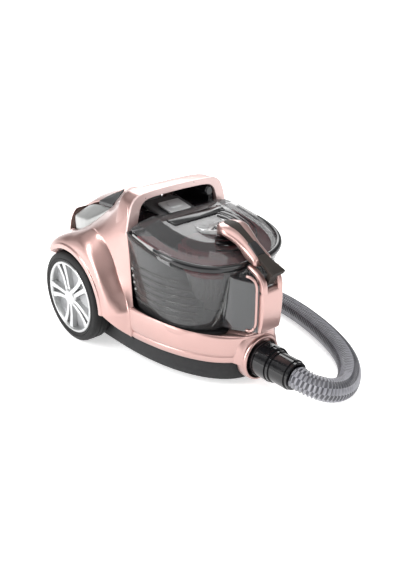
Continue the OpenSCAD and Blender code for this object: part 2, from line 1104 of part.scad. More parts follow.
module end_cuff() {
    color(black)
    at_hose_end()
        difference() {
            bar_x(21, 0, 34, 0, 0);
            bar_x(cuff_bore / 2, 6, 40, 0, 0);
        }
}

module wand_socket() {
    color(charcoal)
    at_hose_end()
        difference() {
            union() {
                bar_x(19.5, 34, 80, 0, 0);
                bar_x(21.5, 72, 80, 0, 0);
            }
            bar_x(cuff_bore / 2, 20, 90, 0, 0);
        }
}

chassis_base();
upper_shell();
top_cover();
top_inlays();
carry_arch();
arch_trim();
arch_liner();
latch_deck();
bulkhead();
bin_tray();
inlet_elbow();
port_ring();
port_seal();
motor_housing();
motor();
motor_mounts();
fan();
pre_motor_filter();
exhaust_filter();
exhaust_grille();
cord_gland();
cord_reel();
reel_axle();
control_board();
power_pedal();
rewind_pedal();
pedal_pins();
wheel_axles();
axle_clips();
tyre_left();
rim_left();
hub_cap_left();
tyre_right();
rim_right();
hub_cap_right();
caster_fork();
caster_axle();
caster_wheel();
housing_screws();
release_button();
dust_container();
front_duct();
front_post();
cyclone_shroud();
cyclone_filter();
lid_hinge_pins();
lid();
lid_ring();
lid_seal();
bin_handle();
handle_grip();
release_lever();
lever_pin();
hose_collar();
collar_latch();
hose_sleeve();
hose_tube();
end_cuff();
wand_socket();
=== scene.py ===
import bmesh
import bpy
import math
import numpy as np
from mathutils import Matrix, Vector


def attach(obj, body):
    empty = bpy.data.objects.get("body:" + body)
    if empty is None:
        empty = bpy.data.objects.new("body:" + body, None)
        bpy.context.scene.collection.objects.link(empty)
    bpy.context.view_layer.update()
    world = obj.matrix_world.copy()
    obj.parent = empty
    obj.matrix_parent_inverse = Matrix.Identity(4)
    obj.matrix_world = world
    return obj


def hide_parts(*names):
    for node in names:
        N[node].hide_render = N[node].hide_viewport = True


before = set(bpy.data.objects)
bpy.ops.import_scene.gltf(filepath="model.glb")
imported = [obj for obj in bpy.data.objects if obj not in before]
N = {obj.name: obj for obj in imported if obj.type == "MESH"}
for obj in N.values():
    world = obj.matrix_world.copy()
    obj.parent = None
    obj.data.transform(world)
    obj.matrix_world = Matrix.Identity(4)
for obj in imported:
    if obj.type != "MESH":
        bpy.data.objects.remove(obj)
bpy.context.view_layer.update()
MM = 0.001


# ---------------------------------------------------------------- camera, light, floor
def add_camera():
    """Camera at the photograph's viewing angle."""
    data = bpy.data.cameras.new("camera")
    data.sensor_width = 36.0
    data.lens = 44.2
    cam = bpy.data.objects.new("camera", data)
    bpy.context.scene.collection.objects.link(cam)
    cam.location = (0.8748, -0.7038, 0.6132)
    az, el = math.radians(48.7475), math.radians(24.5736)
    look = Vector((-math.sin(az) * math.cos(el), math.cos(az) * math.cos(el), -math.sin(el)))
    cam.rotation_mode = "QUATERNION"
    cam.rotation_quaternion = look.to_track_quat("-Z", "Y")
    cam.data.clip_start, cam.data.clip_end = 0.02, 50
    bpy.context.scene.camera = cam


add_camera()

# Hose: the centreline's points, in millimetres, with half a turn on the floor behind the machine
TURN_X, TURN_Y, TURN_R = -440, 312, 144
ROUTE = [
    (292, 0, 49), (304, 1, 47), (317, 6, 43), (328, 16, 38), (334, 30, 32), (336, 46, 27), (334, 63, 23),
    (328, 80, 20), (319, 97, 19), (307, 114, 18.6), (291, 131, 18.6), (271, 147, 18.6), (247, 162, 18.6),
    (219, 176, 18.6), (187, 189, 18.6), (151, 201, 18.6), (113, 211, 18.6), (73, 218, 18.6), (31, 220, 18.6),
    (-15, 217, 18.6), (-65, 210, 18.6), (-120, 199, 18.6), (-180, 186, 18.6), (-240, 176, 18.6),
    (-305, 170, 18.6), (-375, 168, 18.6)]
ROUTE += [(TURN_X - TURN_R * math.sin(math.radians(a)), TURN_Y - TURN_R * math.cos(math.radians(a)), 18.6)
          for a in range(0, 181, 15)]
ROUTE += [(-415, 456, 19.6), (-390, 456, 21.6), (-375, 456, 21.6)]


def catmull_rom(points, steps):
    """A Catmull-Rom curve through the given points, with so many steps between neighbours."""
    p = np.array(points, float)
    p = np.vstack([2 * p[0] - p[1], p, 2 * p[-1] - p[-2]])
    fine = []
    for i in range(1, len(p) - 2):
        p0, p1, p2, p3 = p[i - 1], p[i], p[i + 1], p[i + 2]
        for t in np.linspace(0, 1, steps, endpoint=False):
            square = (2 * p0 - 5 * p1 + 4 * p2 - p3) * t * t
            cube = (3 * p1 - p0 - 3 * p2 + p3) * t ** 3
            fine.append(0.5 * ((2 * p1) + (p2 - p0) * t + square + cube))
    fine.append(p[-2])
    return np.array(fine)


def distances(points):
    """How far along a path each of its points is."""
    return np.concatenate([[0], np.cumsum(np.linalg.norm(np.diff(points, axis=0), axis=1))])


def spaced(points, n):
    """n points evenly spread along a path."""
    s = distances(points)
    t = np.linspace(0, s[-1], n)
    return np.stack([np.interp(t, s, points[:, k]) for k in range(points.shape[1])], axis=1)


def smooth_path(points, step):
    """Points about one step apart on a curve through the given ones, and the curve's length."""
    fine = catmull_rom(points, 24)
    length = distances(fine)[-1]
    return spaced(fine, int(round(length / step)) + 1), length


def spline(points, n):
    """n points evenly spread along a curve through the given ones."""
    return spaced(catmull_rom(points, 16), n)


def link(name, verts, faces, mats, body, smooth=True, face_mats=None):
    """Makes a mesh object that rides on a body."""
    me = bpy.data.meshes.new(name)
    me.from_pydata([tuple(v) for v in verts], [], [tuple(f) for f in faces])
    me.validate()
    for m in (mats if isinstance(mats, (list, tuple)) else [mats]):
        me.materials.append(m)
    if face_mats is not None:
        me.polygons.foreach_set("material_index", face_mats)
    me.polygons.foreach_set("use_smooth", [smooth] * len(me.polygons))
    me.update()
    ob = bpy.data.objects.new(name, me)
    bpy.context.scene.collection.objects.link(ob)
    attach(ob, body)
    return ob


def build_hose(mats):
    """Corrugated tube with a spiral ridge, in a checker of two greys."""
    pitch, sides = 5.4, 40
    rings_per_turn = 6
    mean_radius, ridge_height = 17.4, 1.1
    centre, total = smooth_path(ROUTE, pitch / rings_per_turn)
    centre *= MM
    tang = np.gradient(centre, axis=0)
    tang /= np.linalg.norm(tang, axis=1)[:, None]
    up = np.array([0, 0, 1.0])
    u = np.cross(up, tang)
    u /= np.linalg.norm(u, axis=1)[:, None]
    v = np.cross(tang, u)
    s = np.linspace(0, total, len(centre))
    ang = np.linspace(0, 2 * math.pi, sides, endpoint=False)
    verts = []
    for i in range(len(centre)):
        phase = (s[i] / pitch - ang / (2 * math.pi)) % 1.0
        ridge = np.clip(np.cos((phase - 0.5) * 2 * math.pi) * 1.7, -1, 1)
        r = (mean_radius + ridge_height * ridge) * MM
        across = np.cos(ang)[:, None] * u[i] + np.sin(ang)[:, None] * v[i]
        verts.extend(centre[i] + across * r[:, None])
    faces = []
    n = len(centre)
    for i in range(n - 1):
        for k in range(sides):
            j = (k + 1) % sides
            faces.append((i * sides + k, i * sides + j, (i + 1) * sides + j, (i + 1) * sides + k))
    a, b = len(verts), len(verts) + 1
    verts.append(centre[0])
    verts.append(centre[-1])
    for k in range(sides):
        j = (k + 1) % sides
        faces.append((a, j, k))
        faces.append((b, (n - 1) * sides + k, (n - 1) * sides + j))
    cells = [(i // 3 + k // 4) % 2 for i in range(n - 1) for k in range(sides)] + [0] * (2 * sides)
    ob = link("hose", verts, faces, mats, "machine", face_mats=cells)
    return ob, centre, total


# ---------------------------------------------------------------- materials
def material(name, color, rough, metallic=0.0, coat=0.0, var=0.06, scale=60.0, drough=0.05, bump=0.03,
        bump_scale=900.0, alpha=1.0, spec=0.5, dist=0.0002):
    """Principled material with noise in its colour and roughness, and a fine bump."""
    m = bpy.data.materials.new(name)
    m.use_nodes = True
    nt = m.node_tree
    nt.nodes.clear()
    out = nt.nodes.new("ShaderNodeOutputMaterial")
    p = nt.nodes.new("ShaderNodeBsdfPrincipled")
    nt.links.new(p.outputs[0], out.inputs[0])
    tc = nt.nodes.new("ShaderNodeTexCoord")

    def noise(size, detail):
        node = nt.nodes.new("ShaderNodeTexNoise")
        node.inputs["Scale"].default_value = size
        node.inputs["Detail"].default_value = detail
        nt.links.new(tc.outputs["Object"], node.inputs["Vector"])
        return node.outputs["Fac"]

    ramp = nt.nodes.new("ShaderNodeValToRGB")
    ends = ramp.color_ramp.elements
    ends[0].position, ends[1].position = 0.3, 0.7
    ends[0].color = [max(0, c * (1 - var)) for c in color] + [1]
    ends[1].color = [min(1, c * (1 + var)) for c in color] + [1]
    nt.links.new(noise(scale, 4), ramp.inputs[0])
    nt.links.new(ramp.outputs[0], p.inputs["Base Color"])
    spread = nt.nodes.new("ShaderNodeMapRange")
    spread.inputs["To Min"].default_value = max(0.02, rough - drough)
    spread.inputs["To Max"].default_value = min(1, rough + drough)
    nt.links.new(noise(scale * 3.1, 2), spread.inputs[0])
    nt.links.new(spread.outputs[0], p.inputs["Roughness"])
    if bump:
        b = nt.nodes.new("ShaderNodeBump")
        b.inputs["Strength"].default_value = bump
        b.inputs["Distance"].default_value = dist
        nt.links.new(noise(bump_scale, 3), b.inputs["Height"])
        nt.links.new(b.outputs[0], p.inputs["Normal"])
    p.inputs["Metallic"].default_value = metallic
    p.inputs["Coat Weight"].default_value = coat
    p.inputs["Coat Roughness"].default_value = 0.06
    p.inputs["Specular IOR Level"].default_value = spec
    p.inputs["IOR"].default_value = 1.5
    p.inputs["Alpha"].default_value = alpha
    return m


PINK = material("rose_lacquer", (0.46, 0.292, 0.268), 0.29, metallic=0.82, coat=0.50, var=0.02, scale=25,
    drough=0.02, bump=0.03, bump_scale=2600, dist=0.00005)
TRIM = material("rose_trim", (0.60, 0.45, 0.43), 0.30, metallic=0.5, coat=0.4, var=0.04, scale=25,
    bump=0.05, bump_scale=2600, dist=0.00005)
CHARCOAL = material("charcoal_plastic", (0.020, 0.020, 0.021), 0.55, spec=0.2, var=0.15, scale=120,
    bump=0.35, bump_scale=1500, dist=0.0001)
BLACK = material("gloss_black", (0.006, 0.006, 0.007), 0.16, coat=0.3, spec=0.35, var=0.2, scale=40,
    bump=0.02)
RUBBER = material("black_rubber", (0.013, 0.013, 0.013), 0.62, spec=0.2, var=0.2, scale=150, bump=0.3,
    bump_scale=1800)
TYRE = material("tyre_rubber", (0.009, 0.009, 0.009), 0.55, spec=0.2, var=0.25, scale=90, bump=0.35,
    bump_scale=1400)
WHEEL = material("wheel_silver", (0.50, 0.505, 0.505), 0.30, metallic=0.75, coat=0.3, var=0.04, scale=60,
    bump=0.06, bump_scale=2500)
WHEEL_DARK = material("wheel_recess", (0.34, 0.345, 0.35), 0.40, metallic=0.4, var=0.08, scale=80,
    bump=0.1, bump_scale=1500)
PEDAL = material("pedal_silver", (0.34, 0.345, 0.34), 0.33, metallic=0.75, coat=0.2, var=0.05, scale=50,
    bump=0.08, bump_scale=2500)
# release knob: it sits in the arch's shade, so its base is painted near white and only partly metallic;
# painted brightness standing in for the chrome's reflection
CHROME_PAINTED_BRIGHT = material("chrome", (0.86, 0.87, 0.88), 0.18, metallic=0.35, coat=0.5, var=0.03, scale=60,
    bump=0.0)
STEEL = material("turned_steel", (0.60, 0.60, 0.61), 0.28, metallic=1.0, var=0.06, scale=200, bump=0.1)
SMOKE = material("smoked_clear", (0.055, 0.056, 0.058), 0.07, coat=0.5, var=0.10, scale=12, drough=0.02,
    bump=0.0, alpha=0.40, spec=0.7)
SMOKE_LID = material("smoked_lid", (0.060, 0.060, 0.062), 0.06, coat=0.6, var=0.10, scale=12, drough=0.02,
    bump=0.0, alpha=0.42, spec=0.7)
RIB = material("moulded_rib", (0.11, 0.11, 0.105), 0.12, coat=0.4, var=0.08, scale=30, bump=0.0,
    alpha=0.55, spec=0.6)
CLEAR = material("clear_edge", (0.45, 0.455, 0.45), 0.08, coat=0.6, var=0.05, scale=30, bump=0.0,
    alpha=0.6, spec=0.8)
SMOKE_DUCT = material("smoked_duct", (0.035, 0.037, 0.040), 0.06, coat=0.6, var=0.10, scale=12,
    drough=0.02, bump=0.0, alpha=0.62, spec=0.9)
SMOKE_DECK = material("smoked_plate", (0.16, 0.16, 0.165), 0.16, coat=0.4, var=0.08, scale=30, bump=0.0,
    alpha=0.92)
RED = material("cyclone_red", (0.30, 0.055, 0.07), 0.32, coat=0.2, var=0.15, scale=40, bump=0.05)
FILTER = material("filter_grey", (0.34, 0.34, 0.33), 0.75, var=0.15, scale=120, bump=0.3, bump_scale=1200)
FOAM = material("filter_white", (0.78, 0.78, 0.74), 0.85, var=0.08, scale=200, bump=0.5, bump_scale=1500)
BROWN = material("soft_brown", (0.026, 0.021, 0.018), 0.55, var=0.12, scale=90, bump=0.25, bump_scale=1600,
    spec=0.18)
INLAY = material("satin_black", (0.030, 0.030, 0.031), 0.38, var=0.1, scale=60, bump=0.15, bump_scale=1800)
BOARD = material("printed_board", (0.03, 0.16, 0.07), 0.45, var=0.3, scale=180, bump=0.2)
MOTOR = material("cast_metal", (0.33, 0.33, 0.34), 0.42, metallic=0.9, var=0.12, scale=90, bump=0.3,
    bump_scale=700)


def grid(rows, closed=False):
    """Vertices and faces of a grid of points: rows of equal length, each row joined to the next."""
    n = len(rows[0])
    verts = [tuple(p) for r in rows for p in r]
    faces = []
    for i in range(len(rows) - 1):
        for k in range(n if closed else n - 1):
            j = (k + 1) % n
            faces.append((i * n + k, i * n + j, (i + 1) * n + j, (i + 1) * n + k))
    return verts, faces


def cap_ends(verts, faces, n, flip=False):
    """Adds a face over the first and the last row of a grid, whose rows hold n points."""
    first = tuple(range(n))
    last = tuple(range(len(verts) - n, len(verts)))
    faces.append(first if flip else first[::-1])
    faces.append(last[::-1] if flip else last)


def capped(rows, flip=False):
    """A tube through closed rows of points, with a face over each end."""
    verts, faces = grid(rows, closed=True)
    cap_ends(verts, faces, len(rows[0]), flip)
    return verts, faces


def moved(shape, place):
    """A (verts, faces) pair with each vertex put where place(x, y, z) says."""
    verts, faces = shape
    return [place(*p) for p in verts], faces


def mirrored(verts, faces):
    """The vertices and faces with their mirror image in Y."""
    n = len(verts)
    other = [tuple(n + i for i in f[::-1]) for f in faces]
    return list(verts) + [(x, -y, z) for x, y, z in verts], list(faces) + other


def piece(name, verts, faces, mats, body, smooth=True, solid=0.0, offset=-1.0, subdiv=0, bevel=0.0,
        mirror=False, weld=True, face_mats=None, auto=None, bevel_seg=2):
    """Makes a piece from millimetre vertices."""
    if mirror:
        verts, faces = mirrored(verts, faces)
    ob = link(name, [(x * MM, y * MM, z * MM) for x, y, z in verts], faces, mats, body, smooth, face_mats)
    if weld:
        bm = bmesh.new()
        bm.from_mesh(ob.data)
        bmesh.ops.remove_doubles(bm, verts=bm.verts, dist=0.00002)
        bmesh.ops.recalc_face_normals(bm, faces=bm.faces)
        bm.to_mesh(ob.data)
        bm.free()
    if solid:
        m = ob.modifiers.new("thick", "SOLIDIFY")
        m.thickness = solid * MM
        m.offset = offset
        m.use_even_offset = False
    if bevel:
        m = ob.modifiers.new("edge", "BEVEL")
        m.width = bevel * MM
        m.segments = bevel_seg
        m.limit_method = "ANGLE"
        m.angle_limit = math.radians(32)
    if subdiv:
        m = ob.modifiers.new("smooth", "SUBSURF")
        m.levels = subdiv
        m.render_levels = subdiv
    if auto is not None:
        ob.data.polygons.foreach_set("use_smooth", [True] * len(ob.data.polygons))
        ob.data.set_sharp_from_angle(angle=math.radians(auto))
    return ob


def stands_for(ob, slot, *nodes):
    """Hides the CAD nodes that the piece stands for."""
    for node in nodes:
        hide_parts(node)


def show(slot, nodes, *shape, **options):
    """Makes a piece that stands for the CAD nodes and hides them."""
    stands_for(piece(*shape, **options), slot, *nodes)


def prism(outline, z0, z1):
    """Closed solid over a plan outline."""
    n = len(outline)
    verts = [(x, y, z0) for x, y in outline] + [(x, y, z1) for x, y in outline]
    faces = [tuple(range(n))[::-1], tuple(range(n, 2 * n))]
    faces += [(i, (i + 1) % n, n + (i + 1) % n, n + i) for i in range(n)]
    return verts, faces


def join(*parts):
    """One list of vertices and faces from several (verts, faces) pairs."""
    verts, faces = [], []
    for v, f in parts:
        k = len(verts)
        verts += list(v)
        faces += [tuple(i + k for i in q) for q in f]
    return verts, faces


def spun(profile, n, axis="z", centre=(0, 0, 0), closed=False):
    """Turned body: profile of (radius, height) pairs about an axis."""
    rows = []
    for r, h in profile:
        row = []
        for a in np.radians(np.linspace(0, 360, n, endpoint=False)):
            c, s = r * math.cos(a), r * math.sin(a)
            p = {"z": (c, s, h), "y": (c, h, s), "x": (h, c, s)}[axis]
            row.append(tuple(p[i] + centre[i] for i in range(3)))
        rows.append(row)
    if closed:
        rows.append(rows[0])
    return grid(rows, closed=True)


def box_part(x0, x1, y0, y1, z0, z1):
    return prism([(x0, y0), (x1, y0), (x1, y1), (x0, y1)], z0, z1)


def rounded(c, p):
    """A cosine or sine bent towards a squarer curve of power p."""
    return math.copysign(abs(c) ** (2 / p), c)


TUB_X, TUB_POWER = 70, 2.6
RIM_Z, FALL = 244.0, 0.2
WX, WZ = -111.0, 82.0


def rim_z(x):
    return RIM_Z - FALL * x


# ---------------------------------------------------------------- painted shell
FLANK_STEPS = 4
DEEPEST = 13

# Lines along the flank, one point for each ray from the rear wheel's centre: the ray's angle, then the
# crease line, the hollow line and the top line
FLANK = [
    (-20, (30, 116, 50), (31, 113, 50), (32, 108, 50)),
    (-10, (30, 116, 74), (31, 113, 76), (32, 108, 78)),
    (0, (29, 116, 96), (30, 112, 98), (31, 108, 99)),
    (10, (24, 115.5, 110), (26, 111, 112), (28, 107, 114)),
    (20, (13, 115, 127), (19, 110.5, 130.5), (25, 106, 134)),
    (30, (1, 115, 147), (12, 110.3, 151.5), (23, 105.5, 156)),
    (40, (-8, 115, 168), (7, 110.2, 176), (22, 105.5, 185)),
    (50, (-21, 115, 189), (-1, 110, 206), (19, 105, 223)),
    (60, (-38, 115, 206), (-13, 106, 233), (14.5, 99, 262)),
    (67, (-56, 114, 213), (-36, 98, 238), (-6, 88, 276.5)),
    (74, (-72, 110, 214), (-60, 91, 231), (-36, 76, 263)),
    (82, (-90, 105, 210), (-80, 82, 226), (-66, 64, 250)),
    (90, (-111, 100, 202), (-103, 80, 215), (-92, 54, 236)),
    (100, (-130, 98, 194), (-126, 84, 197), (-118, 67, 203)),
    (110, (-147, 97, 187), (-145, 85, 184), (-142, 73, 183)),
    (120, (-163, 96, 181), (-162, 85, 177), (-160, 73, 175)),
    (130, (-178, 95, 173), (-178, 84, 171), (-178, 70, 170)),
    (140, (-192, 93, 163), (-194, 82, 166), (-197, 67, 167)),
    (150, (-204, 91, 149), (-209, 80, 157), (-215, 63, 164)),
    (160, (-213, 89, 130), (-222, 78, 142), (-232, 60, 156)),
    (170, (-219, 88, 108), (-230, 77, 115), (-239, 60, 128)),
    (180, (-222, 87, 82), (-233, 77, 84), (-242, 60, 90)),
    (190, (-222, 87, 63), (-233, 77, 64), (-242.5, 60, 66)),
    (200, (-220, 86, 48), (-232, 76, 48), (-242, 60, 48))]


def flank_rows():
    """Angles round the wheel and, for each, a point on the crease, hollow and top lines."""
    angles = fine_angles([row[0] for row in FLANK])
    return angles, [catmull_rom([row[k] for row in FLANK], FLANK_STEPS) for k in (1, 2, 3)]


def fine_angles(angles):
    spans = [np.linspace(a, b, FLANK_STEPS, endpoint=False) for a, b in zip(angles, angles[1:])]
    return np.concatenate(spans + [[angles[-1]]])


def polar(theta, r, y):
    return np.array([WX + r * math.cos(math.radians(theta)), y, WZ + r * math.sin(math.radians(theta))])


def build_flanks():
    """Both flanks: a lip round the tyre, a bulge over it and a hollow below the top line."""
    thetas, (crease, hollow, top) = flank_rows()
    rows = []
    for th, g, h, i in zip(thetas, crease, hollow, top):
        # the flange round the tyre stops over its rear, where the body tucks in behind the wheel
        tuck = float(np.interp(th, [128, 150], [0, 36]))
        lip = float(np.interp(th, [-20, 0, 110, 140], [7.5, 8.5, 8.5, 5.0]))
        arc = max(th, 0.02 * th)
        section = [(87.5, 111 + tuck), (87.5, 141.2), (88.3, 143.4), (90, 144.2), (88 + lip, 144.0),
            (88.9 + lip, 143.2), (89.6 + lip, 141.6), (91 + lip, 141.3)]
        rim = [polar(arc, r, y - tuck) for r, y in section]
        e = rim[-1]
        d = g - e
        ray = np.array([math.cos(math.radians(th)), 0, math.sin(math.radians(th))])
        n = np.array([0, 1, 0]) + 0.55 * ray
        n /= np.linalg.norm(n)
        bulge = float(np.interp(th, [-20, 0, 30, 70, 100], [3.0, 5.0, 7.5, 7.0, 8.0]))
        valley = float(np.interp(th, [0, 8, 20, 48, 60, 70, 76], [0, 5, DEEPEST, DEEPEST, 9, 3, 0]))
        body = []
        for t in (0.10, 0.22, 0.36, 0.50, 0.63, 0.75, 0.85, 0.93, 0.975):
            crown = math.sin(math.pi * min(1.0, t / 0.92)) ** 0.8
            sink = float(np.interp(t, [0.36, 0.63, 0.80, 0.93, 1.0], [0, 0.62, 1.0, 0.72, 0]))
            flat = 1 - 0.75 * min(1, valley / DEEPEST) * float(np.interp(t, [0.4, 0.8], [0, 1]))
            body.append(e + d * t + n * bulge * crown * flat - np.array([0, valley * sink, 0]))
        low = [g + (h - g) * q for q in (0.05, 0.20, 0.60)]
        high = [h + (i - h) * q for q in (0.4, 0.85)]
        rows.append(rim + body + [g] + low + [h] + high + [i])
    v, f = grid(rows)
    return piece("shell_flanks", v, f, PINK, "machine", solid=2.4, subdiv=1, mirror=True)


def hull(inset, n=97, t0=0.0, t1=360.0, front=228, rear=227, b=108, pf=2.25, pr=3.5, cx=-20):
    out = []
    for t in np.linspace(t0, t1, n):
        c, s = math.cos(math.radians(t)), math.sin(math.radians(t))
        a, p = (front - inset, pf) if c >= 0 else (rear - inset, pr)
        out.append((cx + a * rounded(c, p), (b - inset) * rounded(s, p)))
    return out


def hull_span(inset, x_end, n):
    """Points of the front hull outline from the right side at x_end, round the front, to the left side."""
    pts = np.array(hull(inset, 721, -90, 90))
    return spaced(pts[pts[:, 0] >= x_end], n)


def tub_span(grow, x_end, n):
    """Points of the container's foot, in the same order as those of hull_span."""
    pts = []
    for t in np.linspace(-180, 180, 721, endpoint=False):
        c, s = math.cos(math.radians(t)), math.sin(math.radians(t))
        pts.append((TUB_X + (106 + grow) * rounded(c, TUB_POWER), (99 + grow) * rounded(s, TUB_POWER)))
    pts = np.array(pts)
    return spaced(pts[pts[:, 0] >= x_end], n)


def build_band():
    """Band round the front: lower strip, groove, rounded upper band and the deck in to the container."""
    x0, n = -2, 121
    out = []
    steps = [(-3.0, 47.6), (-5.0, 48.4), (-6.5, 53), (-6.8, 58.2), (-6.0, 59.8), (-5.6, 60.6),
        (-6.6, 61.6), (-8.4, 64), (-9.2, 74), (-9.2, 84), (-8.8, 93)]
    for inset, z in steps:
        out.append([(p[0], p[1], z) for p in hull_span(inset, x0, n)])
    h = hull_span(-8.0, x0, n)
    t = tub_span(4.2, x0, n)
    # the top edge follows the crease: higher at the sides than at the front
    lift = np.array([104.5 - 0.045 * max(0, p[0] - 40) for p in h])
    out.append([(p[0], p[1], z - 3.0) for p, z in zip(h, lift)])
    mid = 0.86 * h + 0.14 * t
    out.append([(p[0], p[1], z) for p, z in zip(mid, lift)])
    mid = 0.6 * h + 0.4 * t
    out.append([(p[0], p[1], z - 1.2) for p, z in zip(mid, lift)])
    out.append([(p[0], p[1], z - 5.5) for p, z in zip(0.15 * h + 0.85 * t, lift)])
    out.append([(p[0], p[1], z - 8.0) for p, z in zip(t, lift)])
    out.append([(p[0], p[1], 88) for p in t])
    v, f = grid(out)
    return piece("shell_band", v, f, PINK, "machine", solid=2.0, subdiv=1)


def build_nose():
    """Raised nose that carries the hose port."""
    rows = []
    # each row is a half outline from the floor seam up over the port and down, at one station forward
    stations = [(176, 47, 99, 0.0), (192, 46, 104, 0.0), (203, 44, 105.5, 0.0), (211, 41.5, 101.5, 0.3),
        (215.5, 39.5, 93, 0.8), (217, 37.8, 88.5, 1.0), (216, 35.5, 85.5, 1.0), (206, 34.6, 84, 1.0)]
    for x, half, zt, roundness in stations:
        row = []
        for k in range(41):
            a = math.pi * (k / 40)
            c, s = math.cos(a), math.sin(a)
            p = 3.4 - 1.4 * roundness
            y = -half * rounded(c, p)
            z = 50 + (zt - 50) * abs(s) ** (2 / p)
            row.append((x, y, z))
        row = [(x, row[0][1], 48.0)] + row + [(x, row[-1][1], 48.0)]
        rows.append(row)
    v, f = grid(rows)
    nose = piece("shell_nose", v, f, PINK, "machine", solid=1.6, subdiv=1)
    ring = [(33.2, 203), (33.2, 219.0), (34.0, 220.6), (35.2, 221), (36.6, 220.4), (37.4, 218.6),
        (37.8, 214), (38.4, 203)]
    v, f = spun(ring, 96, "x", (0, 0, 50))
    trim = piece("port_trim", v, f, PINK, "machine", solid=0.8, offset=0, subdiv=1)
    return nose, trim


ROOF = [(-240, 178), (-230, 199), (-213, 212), (-190, 224), (-154, 239), (-106, 252), (-38, 274),
    (-10, 282)]
ROOF_TOP = 286


def height_at(x, line):
    """Height at x on a line of (x, z) points."""
    return float(np.interp(x, [p[0] for p in line], [p[1] for p in line]))


def roof_z(x):
    return height_at(x, ROOF)


def build_tail():
    """Rear wall, from one flank round to the other, rising to the spine between the pedals."""
    rows = []
    zs = [48, 66, 90, 112, 128, 142, 156, 166, 178, 190, 199]
    xc = [-247, -247, -246.8, -246.5, -246, -245, -243.5, -242, -239, -233, -226]
    xe = [-242, -242.5, -242, -240.5, -239, -237, -234, -231, -228, -226, -224]
    ye = [60, 60, 60, 60, 60, 61, 62, 62, 61, 57, 50]
    for z, c, e, y in zip(zs, xc, xe, ye):
        row = []
        for k in range(25):
            t = -1 + 2 * k / 24
            row.append((e + (c - e) * (1 - abs(t) ** 2.4), y * t, z))
        rows.append(row)
    v, f = grid(rows)
    return piece("shell_tail", v, f, PINK, "machine", solid=2.0, subdiv=1)


def build_spine():
    """Top cover: narrow between the pedals, wide towards the arch."""
    sx = [-230, -220, -205, -190, -172, -155, -140, -129, -118, -112, -106, -100, -94, -80, -62, -44, -26,
        -12, 2]
    sw = [24, 27, 29, 30, 30.5, 32, 34, 22, 9.5, 18, 29, 40, 53, 60, 67.5, 74.5, 81.5, 87, 91]
    ez = [198, 202, 208, 216, 222, 228.5, 236, 246, 252, 249.5, 246, 242.5, 238, 243.5, 251.5, 259, 267,
        273.5, 279]
    rows = []
    for x, w, z_edge in zip(sx, sw, ez):
        zc = max(min(roof_z(x), ROOF_TOP), z_edge)
        row = []
        for k in range(21):
            t = -1 + 2 * k / 20
            fall = abs(t) ** 2.2
            row.append((x - 3 * (1 - abs(t)), w * t, zc + (z_edge - zc) * fall))
        row = [(x, -w - 0.2, z_edge - 5)] + row + [(x, w + 0.2, z_edge - 5)]
        rows.append(row)
    v, f = grid(rows)
    return piece("top_spine", v, f, PINK, "machine", solid=1.6, subdiv=1)


def build_inlays():
    """Dark five-sided insets, each raised a little to its middle."""
    outline = [(-143, 50.5, 231.5), (-137.5, 35.5, 238.5), (-119, 11, 251), (-99, 42.5, 241.5),
        (-95.5, 54, 236.5)]
    top = [Vector(q) for q in outline]
    c = sum(top, Vector()) / 5
    verts = [tuple(p + (c - p) * 0.02) for p in top]
    verts += [tuple(c + Vector((0, 0, 1.5)))] + [(p.x, p.y, p.z - 6) for p in top]
    faces = [(i, (i + 1) % 5, 5) for i in range(5)]
    faces += [((i + 1) % 5, i, 6 + i, 6 + (i + 1) % 5) for i in range(5)]
    return piece("top_inlay", verts, faces, INLAY, "machine", smooth=False, bevel=0.8, mirror=True)


def build_pedals():
    """Each pedal: a long slanted key with a crowned top, tapering to its rear tip."""
    inner = [(-216, 33, 196), (-200, 35, 206), (-180, 39, 214), (-165, 42, 218.5), (-145, 45.5, 223),
        (-120, 51, 227), (-103, 54, 229)]
    outer = [(-214, 60, 188), (-203, 64, 190.5), (-185, 68.5, 194), (-165, 72, 197.5), (-149, 74, 200.5),
        (-120, 67, 215), (-97, 59, 229)]
    inner, outer = spline(inner, 25), spline(outer, 25)
    rows = []
    for k in range(25):
        a, b = inner[k], outer[k]
        drop = 28 * (1 - (k / 24) ** 2.2) + 6
        row = [(a[0], a[1] + 0.8, a[2] - drop), (a[0], a[1], a[2] - 2.5), (a[0], a[1] + 0.5, a[2] - 0.7)]
        for t in np.linspace(0.06, 0.94, 9):
            p = a + (b - a) * t
            row.append((p[0], p[1], p[2] + 1.6 * math.sin(math.pi * t)))
        row += [(b[0], b[1] - 0.5, b[2] - 0.7), (b[0], b[1], b[2] - 2.5),
            (b[0], b[1] + 0.4, b[2] - drop * 0.55), (b[0], b[1] - 0.5, b[2] - drop)]
        rows.append(row)
    v, f = grid(rows)
    n = len(rows[0])
    cap_ends(v, f, n, flip=True)
    for side, body, name in ((-1, "power_pedal", "pedal_power"), (1, "rewind_pedal", "pedal_rewind")):
        vv = [(x, y * side, z) for x, y, z in v]
        show("pedal", [body], name, vv, f, PEDAL, body, subdiv=1)


ARCH_OUT = [(108, 226), (104.5, 243), (100.5, 258), (96.5, 269), (91.5, 277.5), (84.5, 283), (74, 285.8),
    (58, 287.3), (40, 288.2), (20, 288.7), (0, 288.8)]
ARCH_IN = [(84.5, 240), (81.5, 252), (78.5, 262), (74.5, 268.8), (68, 273.6), (60, 275.8), (48, 276.8),
    (32, 277.4), (16, 277.8), (6, 277.9), (0, 277.9)]


def arch_rows(profile, shrink=0.0):
    """Sections of the arch from foot to foot. The profile's points are (share across the frame, x)."""
    half = list(zip(spline(ARCH_OUT, 41), spline(ARCH_IN, 41)))
    path = [((-a[0], a[1]), (-b[0], b[1])) for a, b in half] + half[::-1][1:]
    rows = []
    for a, b in path:
        a, b = np.array(a), np.array(b)
        a = a + (b - a) / np.linalg.norm(b - a) * shrink
        rows.append([(x,) + tuple(a + (b - a) * t) for t, x in profile])
    return rows


